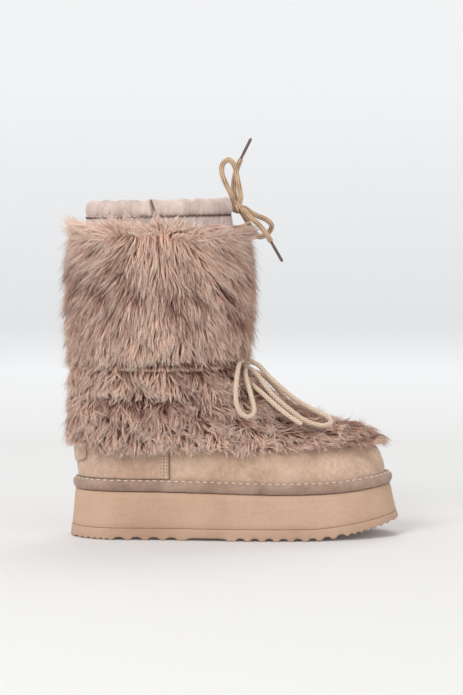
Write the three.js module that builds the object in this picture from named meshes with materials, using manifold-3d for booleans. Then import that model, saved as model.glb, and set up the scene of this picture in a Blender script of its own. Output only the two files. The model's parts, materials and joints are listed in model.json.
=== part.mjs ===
// Mukluk boot for the right foot: a suede foot on a platform sole, three tiers of long fur, a drawstring collar
// and a lace tied round the ankle. Millimetres, +Z up, toe towards +X, outer side of the foot towards -Y.
// X = 0 is the middle of the boot's length, Y = 0 the middle of the last and Z = 0 the floor.
import * as THREE from "three";
import { mergeVertices } from "three/addons/utils/BufferGeometryUtils.js";
import Module from "manifold-3d";

const wasm = await Module();
wasm.setup();

// Driving sizes
const footLength = 264; // outside of the upper where it meets the sole
const ballWidth = 92; // outside of the upper across the ball
const upperHeight = 236; // platform top to the top of the collar sleeve
const wall = 2.6; // suede with its lining
const clearance = 0.3; // between pieces that touch
const toeInward = 6; // how far the toe leans to the inner side
const archPinch = 0.07; // share of the half width that the inner arch loses

const platformHeight = 41; // floor to the platform's top at the heel
const soleMargin = 5; // platform's top edge past the upper
const heelFlare = 3.9; // how far the sole's foot stands out past its top edge at the heel
const toeFlare = 7;
const toeSpring = 14.7; // height of the tread's tip over the floor
const outsoleThickness = 10;
const outsoleStep = 0.5; // the outsole stands this far past the midsole
const lugDepth = 2.4;
const fineLugDepth = 1.2;
const lugCrest = 3.4; // flat part of a lug, on the floor

const weltHeight = 10;
const weltBulge = 1.8; // how far the binding rolls out past the platform's edge
const insoleThickness = 6;
const overlayThickness = 1.2; // suede of the heel counter and the heel tab
const counterHeight = 0.182; // top of the counter over the platform, under the fur, a share of upperHeight
const counterEdge = -0.208; // the side seam's place from the last's middle, a share of footLength
const tabWidth = 44; // across the heel
const tabHeight = 17;

const furBack = 4.5; // how far the fur stands behind the sole
const furDepth = 9;
const sleeveWall = 1.6;
const sleeveHeight = 20; // nylon sleeve between the shaft and the casing
const casingHeight = 15.5; // drawstring casing, a flat tube
const casingThickness = 9;
const casingWall = 1.1;
const casingMouth = 13; // gap between the casing's two ends, at the front

const laceRadius = 2.1;
const drawcordRadius = 2.25;
const knotRadius = 5;
const knotLength = 10;
const agletLength = 20;
const agletRadius = 1.3;

const soleLength = footLength + 2 * soleMargin + heelFlare + toeFlare;
const heelX = furBack - (soleLength + furBack) / 2;
const lastMiddle = heelX + heelFlare + soleMargin + footLength / 2;

// Columns of points round the last, which every piece shares so that neighbours keep their gap
const ringSteps = 36;

// Sections of the upper from the sole to the collar. Lengths are shares: rise of upperHeight, back and front of
// footLength from the last's middle, rear and fore half widths of ballWidth. The caps are the shares of the section's
// own length that round off its heel and toe, and curve is how much of the foot's lean it has.
const sections = [
  { rise: 0, back: -0.5, front: 0.5, rear: 0.353, fore: 0.489, heelCap: 0.15, toeCap: 0.3, curve: 1 },
  { rise: 0.0341, back: -0.503, front: 0.5015, rear: 0.363, fore: 0.502, heelCap: 0.155, toeCap: 0.31, curve: 1 },
  { rise: 0.0682, back: -0.506, front: 0.5, rear: 0.37, fore: 0.505, heelCap: 0.16, toeCap: 0.32, curve: 1 },
  { rise: 0.1072, back: -0.51, front: 0.4905, rear: 0.376, fore: 0.496, heelCap: 0.162, toeCap: 0.36, curve: 0.97 },
  { rise: 0.1413, back: -0.5125, front: 0.475, rear: 0.38, fore: 0.476, heelCap: 0.165, toeCap: 0.42, curve: 0.93 },
  { rise: 0.1706, back: -0.5136, front: 0.449, rear: 0.383, fore: 0.448, heelCap: 0.172, toeCap: 0.48, curve: 0.88 },
  { rise: 0.192, back: -0.514, front: 0.41, rear: 0.386, fore: 0.425, heelCap: 0.18, toeCap: 0.53, curve: 0.82 },
  { rise: 0.2095, back: -0.514, front: 0.352, rear: 0.388, fore: 0.409, heelCap: 0.19, toeCap: 0.57, curve: 0.74 },
  { rise: 0.2339, back: -0.514, front: 0.286, rear: 0.39, fore: 0.398, heelCap: 0.21, toeCap: 0.6, curve: 0.62 },
  { rise: 0.2631, back: -0.513, front: 0.219, rear: 0.392, fore: 0.393, heelCap: 0.24, toeCap: 0.61, curve: 0.48 },
  { rise: 0.2992, back: -0.512, front: 0.157, rear: 0.398, fore: 0.398, heelCap: 0.28, toeCap: 0.61, curve: 0.33 },
  { rise: 0.3362, back: -0.51, front: 0.104, rear: 0.407, fore: 0.407, heelCap: 0.33, toeCap: 0.59, curve: 0.2 },
  { rise: 0.3733, back: -0.507, front: 0.056, rear: 0.42, fore: 0.42, heelCap: 0.4, toeCap: 0.56, curve: 0.1 },
  { rise: 0.4093, back: -0.504, front: 0.021, rear: 0.436, fore: 0.436, heelCap: 0.46, toeCap: 0.53, curve: 0.03 },
  { rise: 0.4493, back: -0.502, front: 0.003, rear: 0.446, fore: 0.446, heelCap: 0.5, toeCap: 0.5, curve: 0 },
  { rise: 0.497, back: -0.504, front: 0.0114, rear: 0.467, fore: 0.467, heelCap: 0.5, toeCap: 0.5, curve: 0 },
  { rise: 0.5896, back: -0.5076, front: 0.0227, rear: 0.5, fore: 0.5, heelCap: 0.5, toeCap: 0.5, curve: 0 },
  { rise: 0.6949, back: -0.5076, front: 0.0265, rear: 0.516, fore: 0.516, heelCap: 0.5, toeCap: 0.5, curve: 0 },
  { rise: 0.8089, back: -0.5, front: 0.021, rear: 0.516, fore: 0.516, heelCap: 0.5, toeCap: 0.5, curve: 0 },
  { rise: 0.9064, back: -0.4886, front: 0.0076, rear: 0.505, fore: 0.505, heelCap: 0.5, toeCap: 0.5, curve: 0 },
  { rise: 1, back: -0.479, front: -0.004, rear: 0.495, fore: 0.495, heelCap: 0.5, toeCap: 0.5, curve: 0 },
];
const topLevel = sections.length - 1;

// Height of the platform's top along the sole: at is a share of soleLength, height one of platformHeight.
const platformLine = [
  { at: 0, height: 1.015 },
  { at: 0.18, height: 1.01 },
  { at: 0.42, height: 0.99 },
  { at: 0.65, height: 0.96 },
  { at: 0.83, height: 0.995 },
  { at: 1, height: 1.13 },
];

// Ripples of the tread, each zone between two shares of soleLength.
const treadZones = [
  { from: 0.012, to: 0.125, valleys: 6, depth: fineLugDepth },
  { from: 0.125, to: 0.335, valleys: 4, depth: lugDepth },
  { from: 0.345, to: 0.485, valleys: 1, depth: lugDepth * 0.9 },
  { from: 0.495, to: 0.84, valleys: 8, depth: lugDepth },
  { from: 0.84, to: 0.985, valleys: 7, depth: fineLugDepth },
];
const springStart = 0.72; // share of soleLength where the tread leaves the floor

const lerp = THREE.MathUtils.lerp;
const clamp = THREE.MathUtils.clamp;
const smooth = (x, from, to) => THREE.MathUtils.smoothstep(x, from, to);

// One column of a table at a real-numbered row, on a smooth curve through the rows.
function column(table, name, level) {
  const last = table.length - 1;
  const i = clamp(Math.floor(level), 0, last - 1);
  const t = level - i;
  const value = (k) => table[clamp(k, 0, last)][name];
  const slope = (k) => (value(k + 1) - value(k - 1)) / (k > 0 && k < last ? 2 : 1);
  const [a, b, da, db] = [value(i), value(i + 1), slope(i), slope(i + 1)];
  const rise = b - a;
  return a + t * (da + t * (3 * rise - 2 * da - db + t * (da + db - 2 * rise)));
}

// The row of a table whose named column passes through a value.
function levelOf(table, name, value) {
  let [low, high] = [0, table.length - 1];
  for (let k = 0; k < 30; k++) {
    const middle = (low + high) / 2;
    if (column(table, name, middle) < value) low = middle;
    else high = middle;
  }
  return (low + high) / 2;
}

// Edges of the fur's tiers, as shares of upperHeight. The lace lies between the ankle tier and the shaft's.
const edges = { vampFoot: 0.1525, ankleFoot: 0.328, ankleTop: 0.434, tie: 0.449, shaftFoot: 0.462, shaftTop: 0.955 };
const sleeveFoot = 1 - sleeveHeight / upperHeight;

// Levels at which the solids have a ring of points. Each tier of fur and the sleeve start and end at one of them.
const levelOfRise = (share) => levelOf(sections, "rise", share);
const ringRises = [
  0, 0.106, edges.vampFoot, 0.193, 0.233, 0.278, edges.ankleFoot, 0.377, edges.ankleTop, edges.shaftFoot, 0.517, 0.695,
  sleeveFoot, 1,
];
const ringLevels = ringRises.map(levelOfRise);

const along = (x) => clamp((x - heelX) / soleLength, 0, 1);

function platformTop(x) {
  return platformHeight * column(platformLine, "height", levelOf(platformLine, "at", along(x)));
}

const springAt = (x) => toeSpring * Math.max(0, (along(x) - springStart) / (1 - springStart)) ** 1.5;
const outsoleTop = (x) => outsoleThickness + 0.75 * springAt(x);

const cap = (share) => (share >= 1 ? 1 : Math.sqrt(Math.max(0, 1 - (1 - share) ** 2)));

// A point of the upper's outside. angle is 0 at the heel, goes round the outer side and is PI at the toe.
function surface(angle, level) {
  const get = (name) => column(sections, name, level);
  const t = (1 - Math.cos(angle)) / 2;
  const side = Math.sin(angle) < 0 ? 1 : -1;
  const curve = get("curve");
  const broad = lerp(get("rear"), get("fore"), smooth(t, 0.16, 0.66)) * ballWidth;
  const arch = side > 0 ? 1 - archPinch * curve * Math.exp(-(((t - 0.42) / 0.15) ** 2)) : 1;
  const half = broad * arch * cap(t / get("heelCap")) * cap((1 - t) / get("toeCap"));
  const x = lastMiddle + footLength * lerp(get("back"), get("front"), t);
  const lean = toeInward * curve * smooth(x, lastMiddle - 0.1 * footLength, lastMiddle + 0.62 * footLength);
  const rise = get("rise") * upperHeight;
  const follow = 1 - clamp(rise / (0.25 * upperHeight), 0, 1);
  const z = rise + lerp(platformHeight, platformTop(x) + clearance, follow);
  return new THREE.Vector3(x, side * half + lean, z);
}

function normalAt(angle, level) {
  const step = 0.02;
  const round = surface(angle + step, level).sub(surface(angle - step, level));
  const [low, high] = [Math.max(level - 0.15, 0), Math.min(level + 0.15, topLevel)];
  const up = surface(angle, high).sub(surface(angle, low));
  return round.cross(up).normalize();
}

// A point of a ring grown outwards. On the two rims it stays at the rim's height.
function grownRing(angle, level, distance) {
  const at = surface(angle, level);
  const normal = normalAt(angle, level);
  if (level <= 0 || level >= topLevel) normal.setZ(0).normalize();
  return at.addScaledVector(normal, distance);
}

// A point a distance outside the upper, whose solid is straight from each ring to the next.
function raised(angle, level, distance) {
  const above = clamp(ringLevels.findIndex((ring) => ring > level), 1, ringLevels.length - 1);
  const top = level >= topLevel ? ringLevels.length - 1 : above;
  const [low, high] = [ringLevels[top - 1], ringLevels[top]];
  const share = (level - low) / (high - low);
  return grownRing(angle, low, distance).lerp(grownRing(angle, high, distance), share);
}

// The level at which the upper, at this angle, reaches a height.
function levelAt(angle, z) {
  let [low, high] = [0, topLevel];
  for (let k = 0; k < 24; k++) {
    const middle = (low + high) / 2;
    if (surface(angle, middle).z < z) low = middle;
    else high = middle;
  }
  return (low + high) / 2;
}

// The upper's outline at the sole, grown outwards in plan.
function outline(angle, margin) {
  const at = surface(angle, 0);
  const ahead = surface(angle + 0.02, 0).sub(surface(angle - 0.02, 0));
  const length = Math.hypot(ahead.x, ahead.y);
  return new THREE.Vector3(at.x + (ahead.y / length) * margin, at.y - (ahead.x / length) * margin, 0);
}

function geometryOf(points, faces) {
  const geometry = new THREE.BufferGeometry();
  geometry.setAttribute("position", new THREE.Float32BufferAttribute(points.flatMap((p) => [p.x, p.y, p.z]), 3));
  geometry.setIndex(faces);
  return geometry;
}

function solidOf(geometry) {
  const bare = geometry.clone();
  for (const name of Object.keys(bare.attributes)) if (name !== "position") bare.deleteAttribute(name);
  const merged = mergeVertices(bare, 1e-3);
  return new wasm.Manifold(
    new wasm.Mesh({
      numProp: 3,
      vertProperties: new Float32Array(merged.attributes.position.array),
      triVerts: new Uint32Array(merged.index.array),
    }),
  );
}

function geometryFrom(solid) {
  const made = solid.getMesh();
  const points = [];
  for (let i = 0; i < made.numVert; i++) {
    points.push(new THREE.Vector3(...made.vertProperties.subarray(i * made.numProp, i * made.numProp + 3)));
  }
  return geometryOf(points, [...made.triVerts]);
}

// A closed solid from rings of points: each ring joins the next, and the last joins the first. The rings go up and
// come back down, and both halves split their squares along the same diagonal.
function ringSolid(rings) {
  const count = rings[0].length;
  const faces = [];
  rings.forEach((ring, j) => {
    const next = (j + 1) % rings.length;
    const down = j >= rings.length / 2;
    for (let i = 0; i < count; i++) {
      const [a, b] = [j * count + i, j * count + ((i + 1) % count)];
      const [c, d] = [next * count + i, next * count + ((i + 1) % count)];
      if (down) faces.push(a, b, c, b, d, c);
      else faces.push(a, b, d, a, d, c);
    }
  });
  return facingOut(geometryOf(rings.flat(), faces));
}

// A closed solid from a stack of rings, with both ends closed across from side to side.
function stackSolid(rings) {
  const count = rings[0].length;
  const faces = [];
  for (let j = 0; j + 1 < rings.length; j++) {
    for (let i = 0; i < count; i++) {
      const [a, b] = [j * count + i, j * count + ((i + 1) % count)];
      faces.push(a, b, b + count, a, b + count, a + count);
    }
  }
  const top = (rings.length - 1) * count;
  for (let i = 0; i < count / 2; i++) {
    const [a, b] = [i, i + 1];
    const [c, d] = [(count - i) % count, count - i - 1];
    if (a !== c) faces.push(a, c, b, top + a, top + b, top + c);
    if (b !== d) faces.push(b, c, d, top + b, top + d, top + c);
  }
  return facingOut(geometryOf(rings.flat(), faces));
}

// A closed solid from a patch: outer and inner are grids of points, [row][column].
function patchSolid(outer, inner) {
  const [rows, columns] = [outer.length, outer[0].length];
  const faces = [];
  const at = (layer, j, i) => layer * rows * columns + j * columns + i;
  const quad = (a, b, c, d) => faces.push(a, b, c, a, c, d);
  for (let j = 0; j + 1 < rows; j++) {
    for (let i = 0; i + 1 < columns; i++) {
      quad(at(0, j, i), at(0, j, i + 1), at(0, j + 1, i + 1), at(0, j + 1, i));
      quad(at(1, j, i), at(1, j + 1, i), at(1, j + 1, i + 1), at(1, j, i + 1));
    }
    quad(at(0, j, 0), at(0, j + 1, 0), at(1, j + 1, 0), at(1, j, 0));
    const last = columns - 1;
    quad(at(0, j + 1, last), at(0, j, last), at(1, j, last), at(1, j + 1, last));
  }
  for (let i = 0; i + 1 < columns; i++) {
    const last = rows - 1;
    quad(at(0, 0, i + 1), at(0, 0, i), at(1, 0, i), at(1, 0, i + 1));
    quad(at(0, last, i), at(0, last, i + 1), at(1, last, i + 1), at(1, last, i));
  }
  return facingOut(geometryOf([...outer.flat(), ...inner.flat()], faces));
}

function facingOut(geometry) {
  const p = geometry.attributes.position;
  const index = geometry.index.array;
  const [a, b, c] = [new THREE.Vector3(), new THREE.Vector3(), new THREE.Vector3()];
  let volume = 0;
  for (let i = 0; i < index.length; i += 3) {
    a.fromBufferAttribute(p, index[i]);
    b.fromBufferAttribute(p, index[i + 1]);
    c.fromBufferAttribute(p, index[i + 2]);
    volume += a.dot(b.cross(c));
  }
  if (volume < 0) {
    for (let i = 0; i < index.length; i += 3) [index[i + 1], index[i + 2]] = [index[i + 2], index[i + 1]];
  }
  return geometry;
}

const steps = (count, from = 0, to = 1) => Array.from({ length: count + 1 }, (_, i) => lerp(from, to, i / count));
const angles = (count) => Array.from({ length: count }, (_, i) => (2 * Math.PI * i) / count);

// Sole

// The sole's side wall leans out towards the floor, more at the toe than at the heel.
function soleSide(grow) {
  const ring = (z) =>
    angles(ringSteps).map((angle) => {
      const edge = outline(angle, soleMargin);
      const flare = lerp(heelFlare, toeFlare, smooth(along(edge.x), 0.5, 1));
      const height = platformTop(edge.x) - springAt(edge.x);
      const down = (platformTop(edge.x) - z) / height;
      return outline(angle, soleMargin + grow + flare * clamp(down, -0.2, 1.05)).setZ(z);
    });
  return solidOf(stackSolid([ring(-2), ring(platformHeight * 0.35), ring(platformHeight * 1.2)]));
}

// A band across the whole sole between two lines drawn from the side, each a list of [x, z].
function sideBand(lower, upper) {
  const shape = new THREE.Shape([...lower, ...[...upper].reverse()].map(([x, z]) => new THREE.Vector2(x, z)));
  const width = 2 * ballWidth;
  const band = new THREE.ExtrudeGeometry(shape, { depth: width, bevelEnabled: false, curveSegments: 1 });
  band.rotateX(Math.PI / 2);
  band.translate(0, width / 2, 0);
  return solidOf(band);
}

const soleLine = (height, count) =>
  steps(count, -0.02, 1.02).map((s) => {
    const x = heelX + s * soleLength;
    return [x, height(x)];
  });

// The tread's line: arched valleys between flat crests that lie on the floor, or on the toe spring's curve.
function treadLine() {
  const line = [[heelX - 0.02 * soleLength, 0]];
  for (const zone of treadZones) {
    const pitch = ((zone.to - zone.from) * soleLength) / zone.valleys;
    const crest = Math.min(lugCrest, pitch * 0.28);
    const slope = Math.min(lugCrest, pitch * 0.25);
    for (let k = 0; k < zone.valleys; k++) {
      const left = heelX + zone.from * soleLength + k * pitch + crest / 2;
      const right = left + pitch - crest;
      for (const [x, depth] of [
        [left, 0],
        [left + slope, zone.depth * 0.85],
        [(left + right) / 2, zone.depth],
        [right - slope, zone.depth * 0.85],
        [right, 0],
      ]) {
        line.push([x, springAt(x) + depth]);
      }
    }
  }
  const tip = heelX + 1.02 * soleLength;
  line.push([tip, springAt(tip)]);
  return line;
}

function outsole() {
  return geometryFrom(soleSide(outsoleStep).intersect(sideBand(treadLine(), soleLine(outsoleTop, 16))));
}

function midsole() {
  const lower = soleLine((x) => outsoleTop(x) + clearance, 16);
  return geometryFrom(soleSide(0).intersect(sideBand(lower, soleLine(platformTop, 20))));
}

// Bound edge of the platform: a rolled strip, drawn as offsets from the upper and heights over the platform.
function welt() {
  const outer = soleMargin + weltBulge;
  const profile = [
    [1.5 * clearance, clearance],
    [soleMargin + 0.3, clearance],
    [outer - 0.3, 0.22 * weltHeight],
    [outer, 0.5 * weltHeight],
    [outer - 0.8, 0.78 * weltHeight],
    [outer - 3, 0.96 * weltHeight],
    [0.35 * outer, weltHeight],
    [1.5 * clearance, 0.93 * weltHeight],
  ];
  return ringSolid(
    profile.map(([margin, height]) =>
      angles(ringSteps).map((angle) => {
        const foot = outline(angle, margin);
        const level = levelOfRise(height / upperHeight);
        const side = raised(angle, level, margin);
        const z = platformTop(foot.x) + height;
        return new THREE.Vector3(side.x, side.y, z);
      }),
    ),
  );
}

function insole() {
  const ring = (height) =>
    angles(ringSteps).map((angle) => {
      const level = levelOfRise(height / upperHeight);
      const at = raised(angle, level, -wall - clearance);
      const foot = outline(angle, -wall);
      return at.setZ(platformTop(foot.x) + clearance + height);
    });
  return stackSolid([ring(0), ring(insoleThickness)]);
}

// Upper

// A shell round the boot between two levels, its two faces at distances from the upper.
function bandShell(low, high, inner, outer) {
  const levels = [low, ...ringLevels.filter((level) => level > low + 0.1 && level < high - 0.1), high];
  const ring = (level, distance) =>
    angles(ringSteps).map((angle) => raised(angle, level, distance(angle, (level - low) / (high - low))));
  return ringSolid([
    ...levels.map((level) => ring(level, outer)),
    ...[...levels].reverse().map((level) => ring(level, inner)),
  ]);
}

const sleeveLevel = levelOfRise(sleeveFoot);
const upper = () => bandShell(0, sleeveLevel, () => -wall, () => 0);

// A suede overlay on the heel: rows of points from its lower to its upper edge, on the upper's own columns.
function overlay(rows, reach, low, high, gap, grow = 0) {
  const widest = Math.min(...steps(rows).map((v) => reach(v)));
  const inside = angles(ringSteps).filter((angle) => angle > 0 && angle < widest - 0.03);
  const grid = (distance) =>
    steps(rows, -grow / 10, 1 + grow / 10).map((v) => {
      const end = reach(clamp(v, 0, 1)) + grow / 30;
      const across = [-end, ...[...inside].reverse().map((angle) => -angle), 0, ...inside, end];
      return across.map((angle) => raised(angle, lerp(low(angle / end), high, v), distance));
    });
  return patchSolid(grid(gap + overlayThickness + grow), grid(gap - grow));
}

// The angle on the outer side at which the upper, at a level, reaches an X.
function angleAtX(x, level) {
  let [low, high] = [0, Math.PI];
  for (let k = 0; k < 24; k++) {
    const middle = (low + high) / 2;
    if (surface(middle, level).x < x) low = middle;
    else high = middle;
  }
  return (low + high) / 2;
}

const counterFoot = levelOfRise((weltHeight + 2 * clearance) / upperHeight);
const counterTop = levelOfRise(counterHeight);

function heelCounter(grow) {
  const edge = lastMiddle + counterEdge * footLength;
  const reach = (v) => angleAtX(edge, lerp(counterFoot, counterTop, v));
  return overlay(4, reach, () => counterFoot, counterTop, clearance, grow);
}

function heelTab(grow) {
  const reach = () => tabWidth / (1.32 * ballWidth);
  const top = edges.vampFoot + 0.02;
  const foot = (u) => levelOfRise(top - (tabHeight - 5 * Math.abs(u) ** 4) / upperHeight);
  const gap = 2 * clearance + overlayThickness;
  return overlay(3, reach, foot, levelOfRise(top), gap, grow);
}

// Fur

// How far forward an angle lies, from 0 at the heel to 1 at the toe.
const forward = (angle) => (1 - Math.cos(angle)) / 2;

// Each tier's shell from low to high, its depth as pairs of a place from hem (0) to top (1) and a share of furDepth,
// and its rows of locks. All rises and lengths are shares of upperHeight.
const tiers = {
  fur_shaft: {
    low: edges.shaftFoot,
    high: edges.shaftTop,
    depth: [[0, 0.78], [0.35, 1], [0.75, 0.95], [1, 0.6]],
    locks: [
      { rise: 0.538, count: 13, length: 0.11, turn: 0 },
      { rise: 0.6949, count: 12, length: 0.153, turn: 0.5 },
      { rise: 0.8606, count: 12, length: 0.153, turn: 0 },
    ],
  },
  fur_ankle: {
    low: edges.ankleFoot + clearance / upperHeight,
    high: edges.ankleTop,
    depth: [[0, 1], [0.5, 0.95], [1, 0.55]],
    locks: [{ rise: 0.3811, count: 15, length: 0.085, turn: 0.3 }],
  },
  fur_vamp: {
    low: edges.vampFoot,
    high: edges.ankleFoot,
    depth: [[0, 0.75], [0.4, 1], [0.75, 0.9], [1, 0.42]],
    locks: [
      { rise: 0.1988, count: 18, length: 0.072, turn: 0 },
      { rise: 0.267, count: 14, length: 0.085, turn: 0.5 },
    ],
  },
};

function depthAt(tier, share) {
  const i = clamp(tier.depth.findIndex(([at]) => at >= share), 1, tier.depth.length - 1);
  const [[a, low], [b, high]] = [tier.depth[i - 1], tier.depth[i]];
  return furDepth * lerp(low, high, clamp((share - a) / (b - a), 0, 1));
}

// One lock of fur: a bent four-sided point that lies along the surface with its tip hanging free.
function lock(angle, z, length, lift, width) {
  const spine = [0, 0.45, 1].map((t) => {
    const drop = length * t;
    const level = levelAt(angle, z);
    const start = raised(angle, level, 0);
    const below = surface(angle, Math.max(level - 0.1, 0)).sub(surface(angle, level)).normalize();
    const near = start.clone().addScaledVector(below, drop * 0.5);
    const turned = levelAt(angle, Math.min(near.z, z));
    const slope = surface(angle, Math.max(turned - 0.1, 0)).sub(surface(angle, turned)).normalize();
    const at = near.addScaledVector(slope, drop * 0.5);
    return at.addScaledVector(normalAt(angle, turned), lift + 0.38 * furDepth * Math.sin(Math.PI * 0.6 * t));
  });
  const normal = normalAt(angle, levelAt(angle, z));
  const side = surface(angle + 0.02, levelAt(angle, z)).sub(surface(angle - 0.02, levelAt(angle, z))).normalize();
  const points = [];
  [1, 0.85].forEach((size, k) => {
    const at = spine[k];
    const thick = 0.24 * furDepth * size;
    points.push(at.clone().addScaledVector(side, (width / 2) * size));
    points.push(at.clone().addScaledVector(normal, thick));
    points.push(at.clone().addScaledVector(side, (-width / 2) * size));
    points.push(at.clone().addScaledVector(normal, -thick));
  });
  points.push(spine[2]);
  const faces = [0, 2, 1, 0, 3, 2];
  for (let i = 0; i < 4; i++) {
    const [a, b] = [i, (i + 1) % 4];
    faces.push(a, b, b + 4, a, b + 4, a + 4, a + 4, b + 4, 8);
  }
  return solidOf(facingOut(geometryOf(points, faces)));
}

// The tier's shell with its locks, less what lies on it: laces, heel counter and heel tab, each grown by the gap.
function furTier(tier, pressed) {
  const [low, high] = [tier.low, tier.high].map(levelOfRise);
  const shell = solidOf(bandShell(low, high, () => clearance, (angle, share) => depthAt(tier, share)));
  const locks = tier.locks.flatMap(({ rise, count, length, turn }) =>
    steps(count - 1, 0, count - 1).map((i) => {
      const angle = (2 * Math.PI * (i + turn + 0.25 * Math.sin(7 * i))) / count;
      const width = furDepth * (1.1 + 0.28 * Math.sin(3 * i + count));
      const hang = length * upperHeight * (0.85 + 0.15 * Math.sin(5 * i + count));
      const share = (levelOfRise(rise) - low) / (high - low);
      return lock(angle, platformHeight + rise * upperHeight, hang, depthAt(tier, share) - 0.1 * furDepth, width);
    }),
  );
  const parts = wasm.Manifold.union([shell, ...locks]).subtract(wasm.Manifold.union(pressed)).decompose();
  return parts.sort((a, b) => b.volume() - a.volume())[0];
}

// Collar

// Points of the drawstring casing's middle line: the collar's top ring from one side of the mouth to the other.
function casingPath(inset) {
  const z = surface(0, topLevel).z + casingHeight / 2 - 1.5;
  const mouth = casingMouth / (surface(Math.PI / 2, topLevel).y * -2);
  return steps(22, Math.PI + mouth, 3 * Math.PI - mouth).map((angle) => {
    const point = raised(angle, topLevel, 0.5 - casingThickness / 2 - inset);
    return point.setZ(z + 3 * (forward(angle) - 0.5));
  });
}

// A flat tube along the casing's line: an oval section, upright, swept round.
function casingSolid(halfThick, halfHigh, overrun) {
  const line = casingPath(0);
  const rows = line.map((point, i) => {
    const ahead = line[Math.min(i + 1, line.length - 1)].clone().sub(line[Math.max(i - 1, 0)]).setZ(0).normalize();
    const out = new THREE.Vector3(ahead.y, -ahead.x, 0);
    const end = i === 0 ? -overrun : i === line.length - 1 ? overrun : 0;
    return angles(8).map((turn) =>
      point
        .clone()
        .addScaledVector(ahead, end)
        .addScaledVector(out, halfThick * Math.cos(turn))
        .add(new THREE.Vector3(0, 0, halfHigh * Math.sin(turn))),
    );
  });
  return solidOf(stackSolid(rows));
}

function collar() {
  const low = levelOfRise(sleeveFoot + clearance / upperHeight);
  const sleeve = bandShell(low, topLevel, () => -sleeveWall, () => 0);
  const tube = casingSolid(casingThickness / 2, casingHeight / 2, 0);
  const bore = casingSolid(casingThickness / 2 - casingWall, casingHeight / 2 - casingWall, 2);
  return geometryFrom(solidOf(sleeve).add(tube).subtract(bore));
}

// Laces

// The ankle bow's knot and the collar bow's knot, and the routes of the free cords, each from its knot's middle.
const ankleKnot = new THREE.Vector3(10, -5, 145.5);
const collarKnot = new THREE.Vector3(4.5, -0.5, 284);
const laceRoutes = {
  lace_loop_near: [
    [11.3, -13.3, 144.6], [11.5, -22, 140.5], [15, -34, 128], [18, -43, 117], [18.5, -49, 110.5], [14, -52, 107],
    [8, -52.5, 109.5], [4, -52, 117], [3, -49.5, 127], [4, -38, 140], [6.5, -21, 151], [9.6, -9.7, 152.5],
  ],
  lace_loop_front: [
    [16.4, -4.2, 151], [23, -4.5, 147.5], [32, -8, 138], [42, -11, 129], [53, -13, 120], [64, -15, 113],
    [75, -19, 107.5], [82.5, -24, 104], [85, -29, 100.5], [80, -34, 98], [71, -35, 99], [61, -34, 103],
    [51, -31, 110], [42, -28, 117], [34, -24, 124.5], [27.5, -19, 132], [22.5, -14, 139], [17.2, -9.3, 144.2],
  ],
  lace_end_near: [
    [12.1, -8.8, 138.2], [17, -18, 132], [26, -29, 125], [36, -37, 116.5], [48, -42, 107], [59, -44, 100],
  ],
  lace_end_far: [[15.1, 1.4, 143], [20, 7, 141.5], [28, 15, 137], [37, 23, 128], [46, 31, 117], [55, 37, 107]],
};
const drawcordRoutes = {
  drawcord_loop_up: [
    [1, -3.5, 291], [-1.5, -6, 297], [-6, -6.5, 306], [-9, -5, 315], [-8, -3.5, 322], [-3, -2, 325.5],
    [1.5, -1.5, 321.5], [4, -1.5, 312], [6, -2.5, 302], [7.5, -3, 293],
  ],
  drawcord_loop_side: [
    [11.5, 3.5, 283.5], [17, 6, 279.5], [23, 9, 276.5], [30, 13, 273.5], [34.5, 17, 268.5], [31.5, 21, 262],
    [24, 21.5, 258.5], [18, 18, 264.5], [13, 12.5, 272.5], [9.5, 7, 278.5],
  ],
  drawcord_end_up: [[3.5, 4.5, 290], [1.5, 5, 299], [1.8, 4.5, 309], [4.5, 4, 318.5], [7.2, 3, 325.7]],
  drawcord_end_side: [[11, -5, 281], [15.5, -6, 276], [22.4, -6.5, 270], [28.5, -6, 263], [33.3, -5.5, 255.3]],
};
const agletDirections = {
  lace_end_near: [12, -1, -4],
  lace_end_far: [9, 5, -9],
  drawcord_end_up: [9, 0, 18],
  drawcord_end_side: [8, 0, -14],
};

function tube(points, radius, stepLength) {
  const curve = new THREE.CatmullRomCurve3(points, false, "centripetal");
  const section = new THREE.Shape(
    angles(8).map((turn) => new THREE.Vector2(radius * Math.cos(turn), radius * Math.sin(turn))),
  );
  const count = Math.max(4, Math.round(curve.getLength() / stepLength));
  return new THREE.ExtrudeGeometry(section, { steps: count, extrudePath: curve, bevelEnabled: false });
}

// A knot: a barrel of two turns of cord, its axis set by a direction.
function knot(at, direction, radius, length) {
  const half = length / 2;
  const profile = [
    [0, -half], [0.7 * radius, -0.95 * half], [radius, -0.5 * half], [0.86 * radius, 0],
    [radius, 0.5 * half], [0.7 * radius, 0.95 * half], [0, half],
  ].map(([r, h]) => new THREE.Vector2(r, h));
  const barrel = new THREE.LatheGeometry(profile, 10);
  const turn = new THREE.Quaternion().setFromUnitVectors(new THREE.Vector3(0, 1, 0), direction.clone().normalize());
  barrel.applyQuaternion(turn);
  barrel.translate(at.x, at.y, at.z);
  return barrel;
}

function aglet(route, direction, radius, grow) {
  const end = new THREE.Vector3(...route.at(-1));
  const axis = new THREE.Vector3(...direction).normalize();
  const pin = new THREE.CylinderGeometry(agletRadius + grow, agletRadius + grow, agletLength + 2 * grow, 8);
  pin.applyQuaternion(new THREE.Quaternion().setFromUnitVectors(new THREE.Vector3(0, 1, 0), axis));
  const middle = end.clone().addScaledVector(axis, agletLength / 2 + clearance + 0.1 * radius);
  pin.translate(middle.x, middle.y, middle.z);
  return pin;
}

// The lace round the ankle lies on the upper between two tiers of fur and comes out at the front to its knot.
function ankleTie(radius) {
  const ring = steps(26, Math.PI + 0.34, 3 * Math.PI - 0.34).map((angle) =>
    raised(angle, levelOfRise(edges.tie), laceRadius + 2.5 * clearance),
  );
  return tube([ankleKnot, ...ring, ankleKnot], radius, 12);
}

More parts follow.
